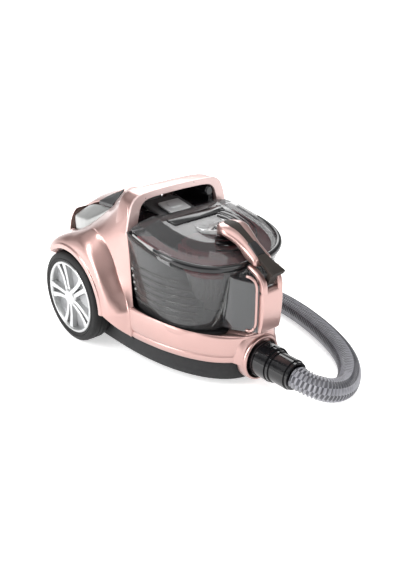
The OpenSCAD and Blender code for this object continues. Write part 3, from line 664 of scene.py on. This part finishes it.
def build_arch():
    """Carrying arch, its lighter front trim and what shows inside its opening."""
    v, f = grid(arch_rows([(0.0, 15.6), (0.0, 2), (0.0, -12), (0.05, -15), (0.5, -17), (0.95, -15),
        (1.0, -12), (1.0, 15.6)], 1.2), closed=True)
    arch = piece("arch_body", v, f, PINK, "machine", bevel=0.8, auto=35)
    v, f = grid(arch_rows([(0.0, 16.0), (0.0, 18.8), (0.045, 20), (0.93, 20), (0.99, 18.8), (0.99, 5.0),
        (0.94, 5.0), (0.94, 16.0)]), closed=True)
    trim = piece("arch_front_trim", v, f, TRIM, "machine", bevel=0.5, auto=30)
    stands_for(arch, "shell", "carry_arch")
    stands_for(trim, "trim", "arch_trim")
    # ribbed drum inside the far end of the opening and dark ribs inside the near end
    parts = []
    for k in range(7):
        parts.append(spun([(6.5, 0), (8.4, 0.6), (8.4, 2.6), (6.5, 3.2)], 24, "x",
            (-14 + 4.2 * k, 71, 262), closed=True))
    parts.append(spun([(0.1, -16), (6.6, -16), (6.6, 16), (0.1, 16)], 24, "x", (0, 71, 262)))
    for k in range(4):
        parts.append(box_part(-10 + 6 * k, -7 + 6 * k, -79, -72, 243, 268))
    v, f = join(*parts)
    show("gloss_black", [], "arch_ribs", v, f, BLACK, "machine", weld=False, auto=40)


def build_skirt():
    """Low pan under the body, with a cheek inside each wheel."""
    steps = [(14, 12.2), (8, 12.2), (4.5, 13.5), (2.6, 17), (1.4, 26), (0.6, 38), (0.2, 45), (0.8, 47.2),
        (4, 47.8), (8, 47.8)]
    rows = [[(p[0], p[1], z) for p in hull(inset, 145)[:-1]] for inset, z in steps]
    v, f = grid(rows, closed=True)
    f.append(tuple(range(144)))
    cheek = [polar(a, 87.5, 0) for a in (-25, -18, -10, -2, 5)]
    cheek = [(p[0], p[2]) for p in cheek] + [(24, 90), (30, 80), (30, 46)]
    for side in (-1, 1):
        v, f = join((v, f), prism_y(cheek, side * 106, side * 112.5))
    show("charcoal", ["chassis_base"], "skirt", v, f, CHARCOAL, "machine", weld=False, auto=35)


# ---------------------------------------------------------------- dust container
TUB_LOW, TUB_MID = 93.3, 125.0
CYCLONE_X = 104.0
LID_LENGTH, LID_WIDTH = 125, 115


def tub_half(z, x):
    """Half length and half width of the container at a height; the rim's height depends on x."""
    top = rim_z(x) - 5.5
    if z <= TUB_MID:
        k = (z - TUB_LOW) / (TUB_MID - TUB_LOW)
        return 106 + 5 * k, 99 + 5 * k
    k = (z - TUB_MID) / (top - TUB_MID)
    return 111 + 14 * k, 104 + 11 * k


def tub_point(angle, z=None, grow=0.0, lift=0.0):
    """Point on the container's wall; z=None is its rim."""
    x = TUB_X + 110 * math.cos(math.radians(angle))
    for _ in range(4):
        zz = rim_z(x) - 5.5 + lift if z is None else z
        a, b = tub_half(zz, x)
        c, s = math.cos(math.radians(angle)), math.sin(math.radians(angle))
        x = TUB_X + (a + grow) * rounded(c, TUB_POWER)
        y = (b + grow) * rounded(s, TUB_POWER)
        back = np.interp(abs(y), [60, 67], [34, 24]) - grow
        x = max(x, back)
    return (x, y, zz)


def build_tub():
    """Wall and floor of the dust container."""
    angles = np.linspace(0, 360, 181)[:-1]
    rows = []
    for grow, z in ((-9, 95.3), (-3.5, 95.6), (-0.8, 97.2), (0, 100), (0, 112), (0, 125), (0, 150),
            (0, 178)):
        rows.append([tub_point(a, z, grow) for a in angles])
    rows.append([tub_point(a, None, 0, -10) for a in angles])
    rows.append([tub_point(a, None, 0, 0) for a in angles])
    v, f = grid(rows, closed=True)
    f.append(tuple(range(180)))
    tub = piece("tub_wall", v, f, SMOKE, "bin", solid=1.8)
    stands_for(tub, "smoke", "dust_container")


def bar_along(points, radius, sides=8, squash=1.0):
    """Rounded bar along a path."""
    p = np.array(points, float)
    tang = np.gradient(p, axis=0)
    tang /= np.linalg.norm(tang, axis=1)[:, None]
    rows = []
    for q, t in zip(p, tang):
        up = np.array([0, 0, 1.0]) if abs(t[2]) < 0.9 else np.array([1.0, 0, 0])
        u = np.cross(up, t)
        u /= np.linalg.norm(u)
        w = np.cross(t, u)
        rows.append([tuple(q + u * math.cos(a) * radius * squash + w * math.sin(a) * radius)
            for a in np.linspace(0, 2 * math.pi, sides, endpoint=False)])
    return capped(rows)


def build_tub_details():
    """Ribs, studs and seams moulded on the container's wall."""
    ribs, dots = [], []
    for k in range(6):
        z = 118 + 13 * k
        for side in (-1, 1):
            angs = np.linspace(112 - 1.5 * k, 42 + 1.5 * k, 40)
            ribs.append(bar_along([tub_point(side * a, z, 0.3) for a in angs], 0.7))
            ribs.append(bar_along([tub_point(side * a, z - 3.4, 0.2) for a in angs], 0.4))
    v, f = join(*ribs)
    show("smoke", [], "tub_ribs", v, f, RIB, "bin", weld=False)
    for z in (136, 148, 160, 172):
        for side in (-1, 1):
            x, y, _ = tub_point(side * 104, z, 0.6)
            dots.append(spun([(0.01, -1.6), (1.6, -1.2), (2.4, 0), (1.7, 1.3), (0.01, 1.8)], 14, "y",
                (x, y, z)))
    v, f = join(*dots)
    show("smoke", [], "tub_studs", v, f, CLEAR, "bin", weld=False)
    seams = []
    for side in (-1, 1):
        pts = spline([(190, 44 * side, 199), (189, 45 * side, 184), (186, 47 * side, 162),
            (182, 50 * side, 141), (176, 55 * side, 121), (169, 61 * side, 105)], 30)
        seams.append(bar_along(pts, 1.1, squash=1.3))
        seams.append(bar_along([tub_point(side * 118, z, 0.3) for z in np.linspace(100, 215, 20)], 0.6))
    v, f = join(*seams)
    show("smoke", [], "tub_seams", v, f, RIB, "bin", weld=False)


def build_cyclone():
    """Pleated cone under a finned red shroud, on a round foot."""
    rows = []
    pleats = 40
    for z, r in ((118, 27), (122, 30), (140, 35), (158, 41), (165, 43)):
        row = []
        for k in range(pleats * 4):
            a = 2 * math.pi * k / (pleats * 4)
            q = r + (1.5 if k % 4 in (0, 1) else -1.5)
            row.append((CYCLONE_X + q * math.cos(a), q * math.sin(a), z))
        rows.append(row)
    v, f = grid(rows, closed=True)
    f.append(tuple(range(pleats * 4)))
    cone = (v, f)
    bars = []
    for k in range(18):
        pts = []
        for t in np.linspace(0, 1, 14):
            a = 2 * math.pi * k / 18 + 0.9 * t
            r = 32.5 + 12 * t
            pts.append((CYCLONE_X + r * math.cos(a), r * math.sin(a), 122 + 42 * t))
        bars.append(bar_along(pts, 0.8, sides=6))
    foot = spun([(0.1, 96.5), (15, 96.5), (15, 112), (24, 116), (28, 118.5), (0.1, 118.5)], 48, "z",
        (CYCLONE_X, 0, 0))
    v, f = join(cone, foot, *bars)
    show("filter_grey", ["cyclone_filter"], "cyclone_cone", v, f, FILTER, "bin", weld=False)
    shroud = [(46, 166), (48.5, 168), (48.5, 171), (46.5, 173), (46.5, 206), (50, 208), (50, 211),
        (43, 211), (43, 170), (40, 166)]
    parts = [spun(shroud, 72, "z", (CYCLONE_X, 0, 0), closed=True)]
    for k in range(16):
        a = 2 * math.pi * k / 16
        c, s = math.cos(a), math.sin(a)
        q = [(46.3, -1.2), (56, -1.2), (56, 1.2), (46.3, 1.2)]
        parts.append(prism([(CYCLONE_X + r * c - t * s, r * s + t * c) for r, t in q], 176, 207))
    v, f = join(*parts)
    show("cyclone_red", ["cyclone_shroud"], "cyclone_red_shroud", v, f, RED, "bin", weld=False, auto=40)


def build_red_flange():
    """Maroon seat under the lid's front half."""
    rows = []
    for a in np.linspace(-100, 100, 81):
        row = []
        for grow, drop in ((-12, 12), (-12, 7), (-32, 5), (-34, 12)):
            x, y, _ = tub_point(a, None, grow, 0)
            row.append((x, y, rim_z(x) - drop))
        rows.append(row)
    v, f = capped(rows, flip=True)
    show("cyclone_red", [], "lid_seat_red", v, f, RED, "bin", weld=False, auto=40)


def duct_side(u, z, out=0.0, side=-1):
    """Point on the flat side of the front duct: u = 0 at its rear corner, 1 at the post."""
    a, b = np.array([196.0, 44.0]), np.array([229.0, 23.0])
    n = np.array([b[1] - a[1], -(b[0] - a[0])])
    n = -n / np.linalg.norm(n)
    p = a + (b - a) * u + n * out
    return (p[0], p[1] * side, z)


def build_duct():
    """Flat-sided duct at the container's front, with a painted frame on each side."""
    plan = [(178, 46), (196, 44), (229, 23), (231, 20), (231, -20), (229, -23), (196, -44), (178, -46)]
    rows = [[(x, y, z) for x, y in plan] for z in (105.5, 112, 125, 140, 155, 170)]
    rows.append([(x, y, np.interp(x, [150, 208, 240], [196, 191, 183])) for x, y in plan])
    v, f = grid(rows)
    f.append(tuple(range(len(v) - 8, len(v))))
    f.append(tuple(range(8))[::-1])
    show("smoke", ["front_duct"], "duct_glass", v, f, SMOKE_DUCT, "bin", smooth=False, bevel=1.2,
        solid=1.5)
    frames = []
    for side in (-1, 1):
        pts = []
        loop = [(0.52, 198), (0.72, 195.5), (0.87, 190), (0.94, 181), (0.95, 168), (0.95, 130),
            (0.93, 118), (0.84, 110.5), (0.70, 107.5), (0.56, 109)]
        for u, z in spline(loop, 60):
            pts.append(duct_side(u, z, 0.8, side))
        frames.append(bar_along(pts, 2.2, sides=10, squash=0.9))
    v, f = join(*frames)
    show("shell", [], "window_frames", v, f, PINK, "bin", weld=False)


def prism_y(outline, y0, y1):
    """Closed solid of an (x, z) outline between two planes."""
    n = len(outline)
    v = [(x, y0, z) for x, z in outline] + [(x, y1, z) for x, z in outline]
    f = [tuple(range(n)), tuple(range(n, 2 * n))[::-1]]
    f += [(i, n + i, n + (i + 1) % n, (i + 1) % n) for i in range(n)]
    return v, f


def build_post():
    """Painted front post, forked at its top."""
    low = [(226, 104), (234.5, 104), (237, 118), (238.6, 140), (239, 158), (238, 172), (234.5, 176.5),
        (229, 178), (226, 172)]
    prong = [(226, 168), (238.2, 168), (238, 180), (235.5, 189), (230.5, 195.5), (222, 201.5), (212, 206),
        (203, 208.5), (200.5, 203), (212, 198), (221, 192), (226, 184)]
    v, f = join(prism_y(low, -21.5, 21.5), prism_y(prong, -21.5, -11), prism_y(prong, 11, 21.5))
    show("shell", ["front_post"], "post_front", v, f, PINK, "bin", bevel=2.6, bevel_seg=4, weld=False,
        auto=50)


# ---------------------------------------------------------------- lid and handle
def lid_point(angle, grow, rise):
    """Point on the lid, grown past the rim's outline (a pair: in length and in width) and raised."""
    c, s = math.cos(math.radians(angle)), math.sin(math.radians(angle))
    ga, gb = grow if isinstance(grow, tuple) else (grow, grow)
    x = TUB_X + (LID_LENGTH + ga) * rounded(c, TUB_POWER)
    y = (LID_WIDTH + gb) * rounded(s, TUB_POWER)
    back = np.interp(abs(y), [60, 67], [40, 32])
    x = max(x, back)
    return (x, y, rim_z(x) + rise)


def build_lid():
    """Smoked lid over the container."""
    angles = np.linspace(0, 360, 145)[:-1]
    rows = []
    for grow, rise in ((-4, 1.5), (-6, 3.5), (-18, 8.5), ((-42, -46), 14.4), ((-46, -50), 15.2),
            ((-58, -62), 15.4), ((-70, -75), 15.4)):
        rows.append([lid_point(a, grow, rise) for a in angles])
    v, f = grid(rows, closed=True)
    f.append(tuple(range(len(v) - 144, len(v))))
    lid = piece("lid_glass", v, f, SMOKE_LID, "lid", solid=1.6, auto=8)
    stands_for(lid, "smoke", "lid")


def build_lid_rim():
    """Glossy rim: thin and clear at the rear, thick and black round the front."""
    rows, mats = [], []
    angles = [a for a in np.linspace(-180, 180, 241) if lid_point(a, 0, 0)[0] > 41]
    for a in angles:
        x, y, z = lid_point(a, -1.2, 0)
        k = float(np.clip((x - 70) / 80, 0, 1))
        r = 1.7 + 4.3 * k
        n = Vector((x - 70, y, 0)).normalized()
        rows.append([(x + n.x * r * 0.9 * math.cos(t), y + n.y * r * 0.9 * math.cos(t),
            z - 0.6 + r * math.sin(t)) for t in np.linspace(0, 2 * math.pi, 12, endpoint=False)])
        mats.append(0 if x > 92 else 1)
    v, f = grid(rows, closed=True)
    fm = [mats[i] for i in range(len(rows) - 1) for _ in range(12)]
    cap_ends(v, f, 12)
    fm += [1, 1]
    rim = piece("lid_rim", v, f, [BLACK, CLEAR], "lid", weld=False, face_mats=fm)
    stands_for(rim, "gloss_black", "lid_ring")


def build_lid_fittings():
    """Round clear cup under the handle's rear end, dark scroll rings round it, and the black cross band."""
    z0 = rim_z(CYCLONE_X) + 15.5
    cup = spun([(24, z0 - 4), (31, z0 - 3), (31.5, z0 + 1), (30.6, z0 + 3), (28.6, z0 + 3.2),
        (27.6, z0 + 0.5), (24, z0 - 1)], 64, "z", (CYCLONE_X, 0, 0), closed=True)
    arms = []
    for angle in (0.5, 2.07):
        c, s = math.cos(angle), math.sin(angle)
        bar = [(CYCLONE_X - 26 * c - 3 * s, -26 * s + 3 * c), (CYCLONE_X - 26 * c + 3 * s,
            -26 * s - 3 * c), (CYCLONE_X + 26 * c + 3 * s, 26 * s - 3 * c),
            (CYCLONE_X + 26 * c - 3 * s, 26 * s + 3 * c)]
        arms.append(prism(bar, z0 - 1.5, z0 + 1.2))
    v, f = join(cup, *arms)
    show("smoke", [], "lid_cup", v, f, CLEAR, "lid", weld=False, auto=40)
    rings = []
    for r, w, rise in ((38, 3.0, 15.9), (44, 1.2, 16.2), (52, 3.6, 15.9), (59, 1.4, 16.0),
            (69, 1.0, 13.6)):
        rows = []
        for a in np.radians(np.linspace(-38, 128, 60)):
            row = []
            for q, h in ((r - w, 0), (r - w * 0.6, 1.4), (r + w * 0.6, 1.4), (r + w, 0)):
                x, y = CYCLONE_X + q * math.cos(a), q * math.sin(a)
                edge = max(0.0, abs(y) - 60) * 0.14 + max(0.0, x - 148) * 0.11
                row.append((x, y, rim_z(x) + rise + h - edge))
            rows.append(row)
        rings.append(capped(rows, flip=True))
    v, f = join(*rings)
    show("gloss_black", [], "lid_scroll_rings", v, f, BLACK, "lid", weld=False, auto=40)
    x0, x1, half = 57, 76, 57
    plan = [(x0, -half), (x1, -half + 4), (x1, half - 4), (x0, half)]
    v, f = moved(prism(plan, 15.6, 17.4), lambda x, y, h: (x, y, rim_z(x) + h))
    show("gloss_black", [], "lid_cross_band", v, f, BLACK, "lid", bevel=0.6)


HANDLE_TOP = [(124, 251), (130, 254.5), (138, 255.5), (152, 254.5), (165, 249.5), (178, 243), (191, 235),
    (204, 226.5), (214, 219.5), (222, 213.5)]


def handle_top(x):
    return height_at(x, HANDLE_TOP)


def handle_half(x):
    """Half width of the handle, which ends in a half circle at the rear."""
    if x < 150:
        return math.sqrt(max(0.0, 26 ** 2 - (150 - x) ** 2))
    return float(np.interp(x, [150, 158, 168, 180, 192, 206, 224], [26, 25, 21.5, 18.2, 17, 17.5, 18.5]))


def loft_x(stations, power=3.6, n=28):
    """Closed solid from (x, half width, low, high) stations, each a rounded rectangle across the handle."""
    rows = []
    for x, w, zb, zt in stations:
        row = []
        for k in range(n):
            t = 2 * math.pi * k / n
            c, s = math.cos(t), math.sin(t)
            row.append((x, w * rounded(c, power), (zb + zt) / 2 + (zt - zb) / 2 * rounded(s, power)))
        rows.append(row)
    return capped(rows)


def build_handle():
    """Handle on the lid, its soft inlay and the black bridge to the lever."""
    xs = [124.3, 125.5, 128, 132, 137, 143, 150, 158, 166, 174, 182, 190, 198, 206, 212, 216]
    low = [(124, 235), (136, 234.5), (139, 238), (150, 239.5), (160, 236.5), (172, 231.5), (180, 226),
        (186, 218), (192, 210), (216, 206)]
    st = [(x, max(3.0, handle_half(x)), height_at(x, low), handle_top(x)) for x in xs]
    v, f = loft_x(st)
    show("shell", ["bin_handle"], "handle_body", v, f, PINK, "lid", subdiv=1, weld=False)
    st = []
    for x in (131.5, 132.5, 135, 139, 145, 152, 160, 168, 176, 184, 190, 192):
        w = math.sqrt(max(2.0, 12.5 ** 2 - max(0, 144.5 - x) ** 2))
        w = float(np.interp(x, [145, 152, 164, 178, 192], [w, 11.8, 9.0, 7.6, 7.6]))
        st.append((x, w, handle_top(x) - 5, handle_top(x) + 0.9))
    v, f = loft_x(st, 2.6)
    show("soft_brown", ["handle_grip"], "handle_inlay", v, f, BROWN, "lid", subdiv=1, weld=False)
    st = [(x, w, handle_top(x) - 5, handle_top(x) + h) for x, w, h in ((189.5, 8.6, 0.6), (191, 9.0, 1.0),
        (200, 9.2, 1.2), (209, 9.8, 1.2), (211, 9.6, 0.8))]
    v, f = loft_x(st, 4.5)
    show("gloss_black", [], "handle_bridge", v, f, BLACK, "lid", weld=False, auto=50)


def build_lever():
    """Flared lever: widens to its tip, then drops into the post's notch with a hollow front face."""
    prof = [(210, 222.5, 9.6, 6), (214, 220.5, 9.8, 7), (224, 215.8, 10.6, 8), (234, 211.3, 12.0, 8.5),
        (243, 207.3, 13.6, 8), (247.5, 204.8, 14.2, 5.5)]
    rows = []
    for x, z, w, t in prof:
        rows.append([(x, -w, z), (x, -w * 0.5, z + 0.5), (x, 0, z + 0.7), (x, w * 0.5, z + 0.5), (x, w, z),
            (x - 1, w * 0.96, z - t * 0.5), (x - 2.5, w * 0.82, z - t), (x - 3, 0, z - t * 1.1),
            (x - 2.5, -w * 0.82, z - t), (x - 1, -w * 0.96, z - t * 0.5)])
    top = capped(rows)
    rows = []
    for x, z, w, d in ((243, 203, 12.6, 9), (240.5, 199, 10.6, 8.5), (238, 194.5, 9.0, 8),
            (235.5, 189, 8.2, 7), (233.5, 184, 7.6, 6), (232, 180.5, 7.2, 4.5)):
        rows.append([(x, -w, z), (x - 0.8, 0, z), (x, w, z), (x - d, w * 0.9, z + 1.5),
            (x - d, -w * 0.9, z + 1.5)])
    v, f = join(top, capped(rows))
    show("soft_brown", ["release_lever"], "lever_blade", v, f, BROWN, "release_lever", bevel=0.8,
        bevel_seg=3, weld=False, auto=45)


def build_deck():
    """Smoked plate through the arch, with cut corners, and the square two-tier knob on it."""
    out = [(-38, -26), (-26, -38), (22, -38), (32, -30), (32, 30), (22, 38), (-26, 38), (-38, 26)]
    tilt = -math.atan(FALL)

    def on_deck(x, y, h):
        return (x * math.cos(tilt) - h * math.sin(tilt), y, RIM_Z + x * math.sin(tilt)
            + h * math.cos(tilt))

    lips = []
    for a, b in (((-36, 36.6), (22, 36.6)), ((-36, -36.6), (22, -36.6))):
        pts = [on_deck(a[0] + (b[0] - a[0]) * t, a[1], 0.3) for t in np.linspace(0, 1, 8)]
        lips.append(bar_along(pts, 0.8, sides=6))
    v, f = join(moved(prism(out, -3.6, 0), on_deck), *lips)
    show("smoke", ["latch_deck"], "deck_plate", v, f, SMOKE_DECK, "machine", bevel=0.7, weld=False,
        auto=40)

    def slab(x0, x1, half, h0, h1, cut):
        o = [(x0 + cut, -half), (x1 - cut, -half), (x1, -half + cut), (x1, half - cut), (x1 - cut, half),
            (x0 + cut, half), (x0, half - cut), (x0, -half + cut)]
        return moved(prism(o, h0, h1), on_deck)

    # the knob's brightness is painted into its material, over the shade inside the arch
    v, f = join(slab(-8.8, 21.8, 16.8, -4.5, 4.3, 1.5), slab(-12, 25, 22, 4.2, 7.2, 2.0),
        slab(-4, 14, 11, 7.2, 8.6, 2.5))
    show("chrome", ["release_button"], "release_knob", v, f, CHROME_PAINTED_BRIGHT, "release_button", bevel=0.9,
        bevel_seg=3, weld=False, auto=40)


# ---------------------------------------------------------------- wheels
SPOKES = 5
SPOKE_PHASE = 40.0


def build_wheels():
    """Rim with five slotted, flared spokes over recessed panels, and a tyre with a grooved side."""
    ring = [(60.2, -33), (65.6, -33), (65.8, -2.0), (65.2, -0.6), (63.6, 0.3), (61.6, 0.2), (60.4, -1.2),
        (59.6, -4.0), (59.0, -12)]
    hub = [(0.1, 1.0), (11.5, 1.0), (13.6, 0.2), (15.5, -2.2), (16.5, -5), (16.5, -14), (0.1, -14)]
    rim = [spun(ring, 120, "y", closed=True), spun(hub, 64, "y")]
    recess = [(13, -10.0), (30, -11.0), (58, -12.5), (60.5, -9), (60.5, -15), (13, -14)]
    panel = [spun(recess, 96, "y", closed=True)]
    for k in range(SPOKES):
        a = math.radians(SPOKE_PHASE + 360 / SPOKES * k)
        c, s = math.cos(a), math.sin(a)
        for side in (-1, 1):
            rows = []
            for r, inner, outer, y in ((12, 0.9, 7.6, -1.2), (22, 1.3, 8.4, -2.2), (36, 2.4, 9.6, -3.2),
                    (50, 3.9, 12.2, -2.6), (58, 4.8, 15.2, -1.6), (62, 5.2, 17.2, -1.2)):
                row = []
                for t, h in ((inner, y - 9), (inner, y), (outer, y), (outer + 0.8, y - 9)):
                    t = t * side
                    row.append((r * c - t * s, h, r * s + t * c))
                rows.append(row)
            rim.append(capped(rows, flip=True))
    tread = [(65.6, -0.6), (67.0, -0.2), (69.6, 0.2), (70.4, -0.7), (71.4, -0.7), (72.2, 0.1),
        (76.0, -0.4), (79.0, -1.6), (81.0, -3.6), (81.9, -7.0), (82.0, -12.8), (81.3, -13.0),
        (81.3, -14.4), (82, -14.6), (82.0, -21.8), (81.3, -22.0), (81.3, -23.4), (82, -23.6),
        (82.0, -29.0), (80.8, -32.6), (77, -34.6), (66.0, -35.0)]
    tyre = [spun(tread, 144, "y", closed=True)]
    for side, name in ((-1, "right"), (1, "left")):
        for suffix, parts, mat, slot in (("rim", rim, WHEEL, "wheel_silver"),
                ("panel", panel, WHEEL_DARK, "wheel_silver"), ("tyre", tyre, TYRE, "tyre")):
            v, f = join(*parts)
            v = [(WX + x, side * (145 + y), WZ + z) for x, y, z in v]
            ob = piece(f"wheel_{suffix}_{name}", v, f, mat, f"wheel_{name}", weld=False, auto=38,
                bevel=0.5 if suffix == "rim" else 0.0)
            if suffix != "panel":
                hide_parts(f"{suffix}_{name}")
                if suffix == "rim":
                    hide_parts(f"hub_cap_{name}")


# ---------------------------------------------------------------- hose and the CAD nodes that stay
hose_dark = material("hose_dark", (0.045, 0.045, 0.055), 0.30, coat=0.3, var=0.2, scale=80, bump=0.1)
hose_light = material("hose_light", (0.24, 0.24, 0.265), 0.30, coat=0.3, var=0.15, scale=80, bump=0.1)
hose, hose_path, hose_len = build_hose([hose_dark, hose_light])
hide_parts("hose_tube")

# CAD nodes that keep their own shape, by material
CAD_LOOK = [
    (BLACK, "arch_liner bulkhead hose_collar collar_latch hose_sleeve end_cuff"),
    (CHARCOAL, "bin_tray inlet_elbow motor_housing exhaust_grille cord_reel caster_fork wand_socket"),
    (RUBBER, "port_seal motor_mounts cord_gland lid_seal"),
    (STEEL, "fan reel_axle pedal_pins wheel_axles axle_clips caster_axle"),
    (STEEL, "housing_screws lid_hinge_pins lever_pin"),
    (FOAM, "pre_motor_filter exhaust_filter"),
    (MOTOR, "motor"),
    (BOARD, "control_board"),
    (TYRE, "caster_wheel")]
for look, names in CAD_LOOK:
    for name in names.split():
        slots = N[name].data.materials
        slots.clear()
        slots.append(look)

# ---------------------------------------------------------------- build
def floor_and_lights():
    """White floor that glows a little further out, a studio sky and four soft lights."""
    bpy.context.scene.view_settings.view_transform = "Standard"
    me = bpy.data.meshes.new("floor")
    me.from_pydata([(-40, -40, 0), (40, -40, 0), (40, 40, 0), (-40, 40, 0)], [], [(0, 1, 2, 3)])
    floor = bpy.data.objects.new("floor", me)
    bpy.context.scene.collection.objects.link(floor)
    white = material("floor_white", (0.93, 0.93, 0.93), 0.7, var=0.005, scale=3, bump=0.0)
    shader = white.node_tree.nodes["Principled BSDF"]
    glow = white.node_tree.nodes.new("ShaderNodeTexGradient")
    glow.gradient_type = "SPHERICAL"
    shade = white.node_tree.nodes.new("ShaderNodeValToRGB")
    shade.color_ramp.elements[0].color = (1, 1, 1, 1)
    shade.color_ramp.elements[1].color = (0.48, 0.48, 0.48, 1)
    coords = white.node_tree.nodes["Texture Coordinate"]
    white.node_tree.links.new(coords.outputs["Object"], glow.inputs[0])
    white.node_tree.links.new(glow.outputs["Fac"], shade.inputs[0])
    white.node_tree.links.new(shade.outputs[0], shader.inputs["Emission Color"])
    shader.inputs["Emission Strength"].default_value = 1.0
    me.materials.append(white)
    w = bpy.data.worlds.new("studio")
    bpy.context.scene.world = w
    w.use_nodes = True
    nodes, links = w.node_tree.nodes, w.node_tree.links
    coords = nodes.new("ShaderNodeTexCoord")
    split = nodes.new("ShaderNodeSeparateXYZ")
    sky = nodes.new("ShaderNodeValToRGB")
    steps = sky.color_ramp.elements
    steps[0].position, steps[0].color = 0.0, (1.0, 1.0, 1.0, 1)
    steps[1].position, steps[1].color = 1.0, (0.70, 0.70, 0.70, 1)
    for position, level in ((0.24, 0.95), (0.29, 0.06), (0.46, 0.12), (0.58, 0.60)):
        steps.new(position).color = (level, level, level, 1)
    links.new(coords.outputs["Generated"], split.inputs[0])
    links.new(split.outputs["Z"], sky.inputs[0])
    links.new(sky.outputs[0], nodes["Background"].inputs[0])
    nodes["Background"].inputs[1].default_value = 0.95

    def area(name, loc, target, size, power, size_y=None):
        d = bpy.data.lights.new(name, "AREA")
        d.energy = power
        d.size = size
        if size_y:
            d.shape = "RECTANGLE"
            d.size_y = size_y
        o = bpy.data.objects.new(name, d)
        o.location = loc
        o.rotation_mode = "QUATERNION"
        o.rotation_quaternion = (Vector(target) - Vector(loc)).to_track_quat("-Z", "Y")
        bpy.context.scene.collection.objects.link(o)

    area("top", (0.1, -0.1, 1.7), (0, 0, 0.1), 1.6, 13)
    area("side_strip", (-0.35, -1.5, 0.85), (0, 0, 0.12), 0.5, 24, 1.6)
    area("front", (1.6, 0.3, 0.9), (0.1, 0, 0.12), 0.9, 7)
    area("back", (-1.2, 1.0, 1.2), (0, 0, 0.15), 1.0, 12)


floor_and_lights()
shell = [build_flanks(), build_band(), build_tail()]
nose, port_trim = build_nose()
spine = build_spine()
inlay = build_inlays()
for ob in shell + [nose]:
    stands_for(ob, "shell", "upper_shell")
stands_for(spine, "shell", "top_cover")
stands_for(port_trim, "shell", "port_ring")
stands_for(inlay, "inlay", "top_inlays")
build_pedals()
build_arch()
build_skirt()
build_tub()
build_tub_details()
build_cyclone()
build_red_flange()
build_duct()
build_post()
build_lid()
build_lid_rim()
build_lid_fittings()
build_handle()
build_lever()
build_deck()
build_wheels()
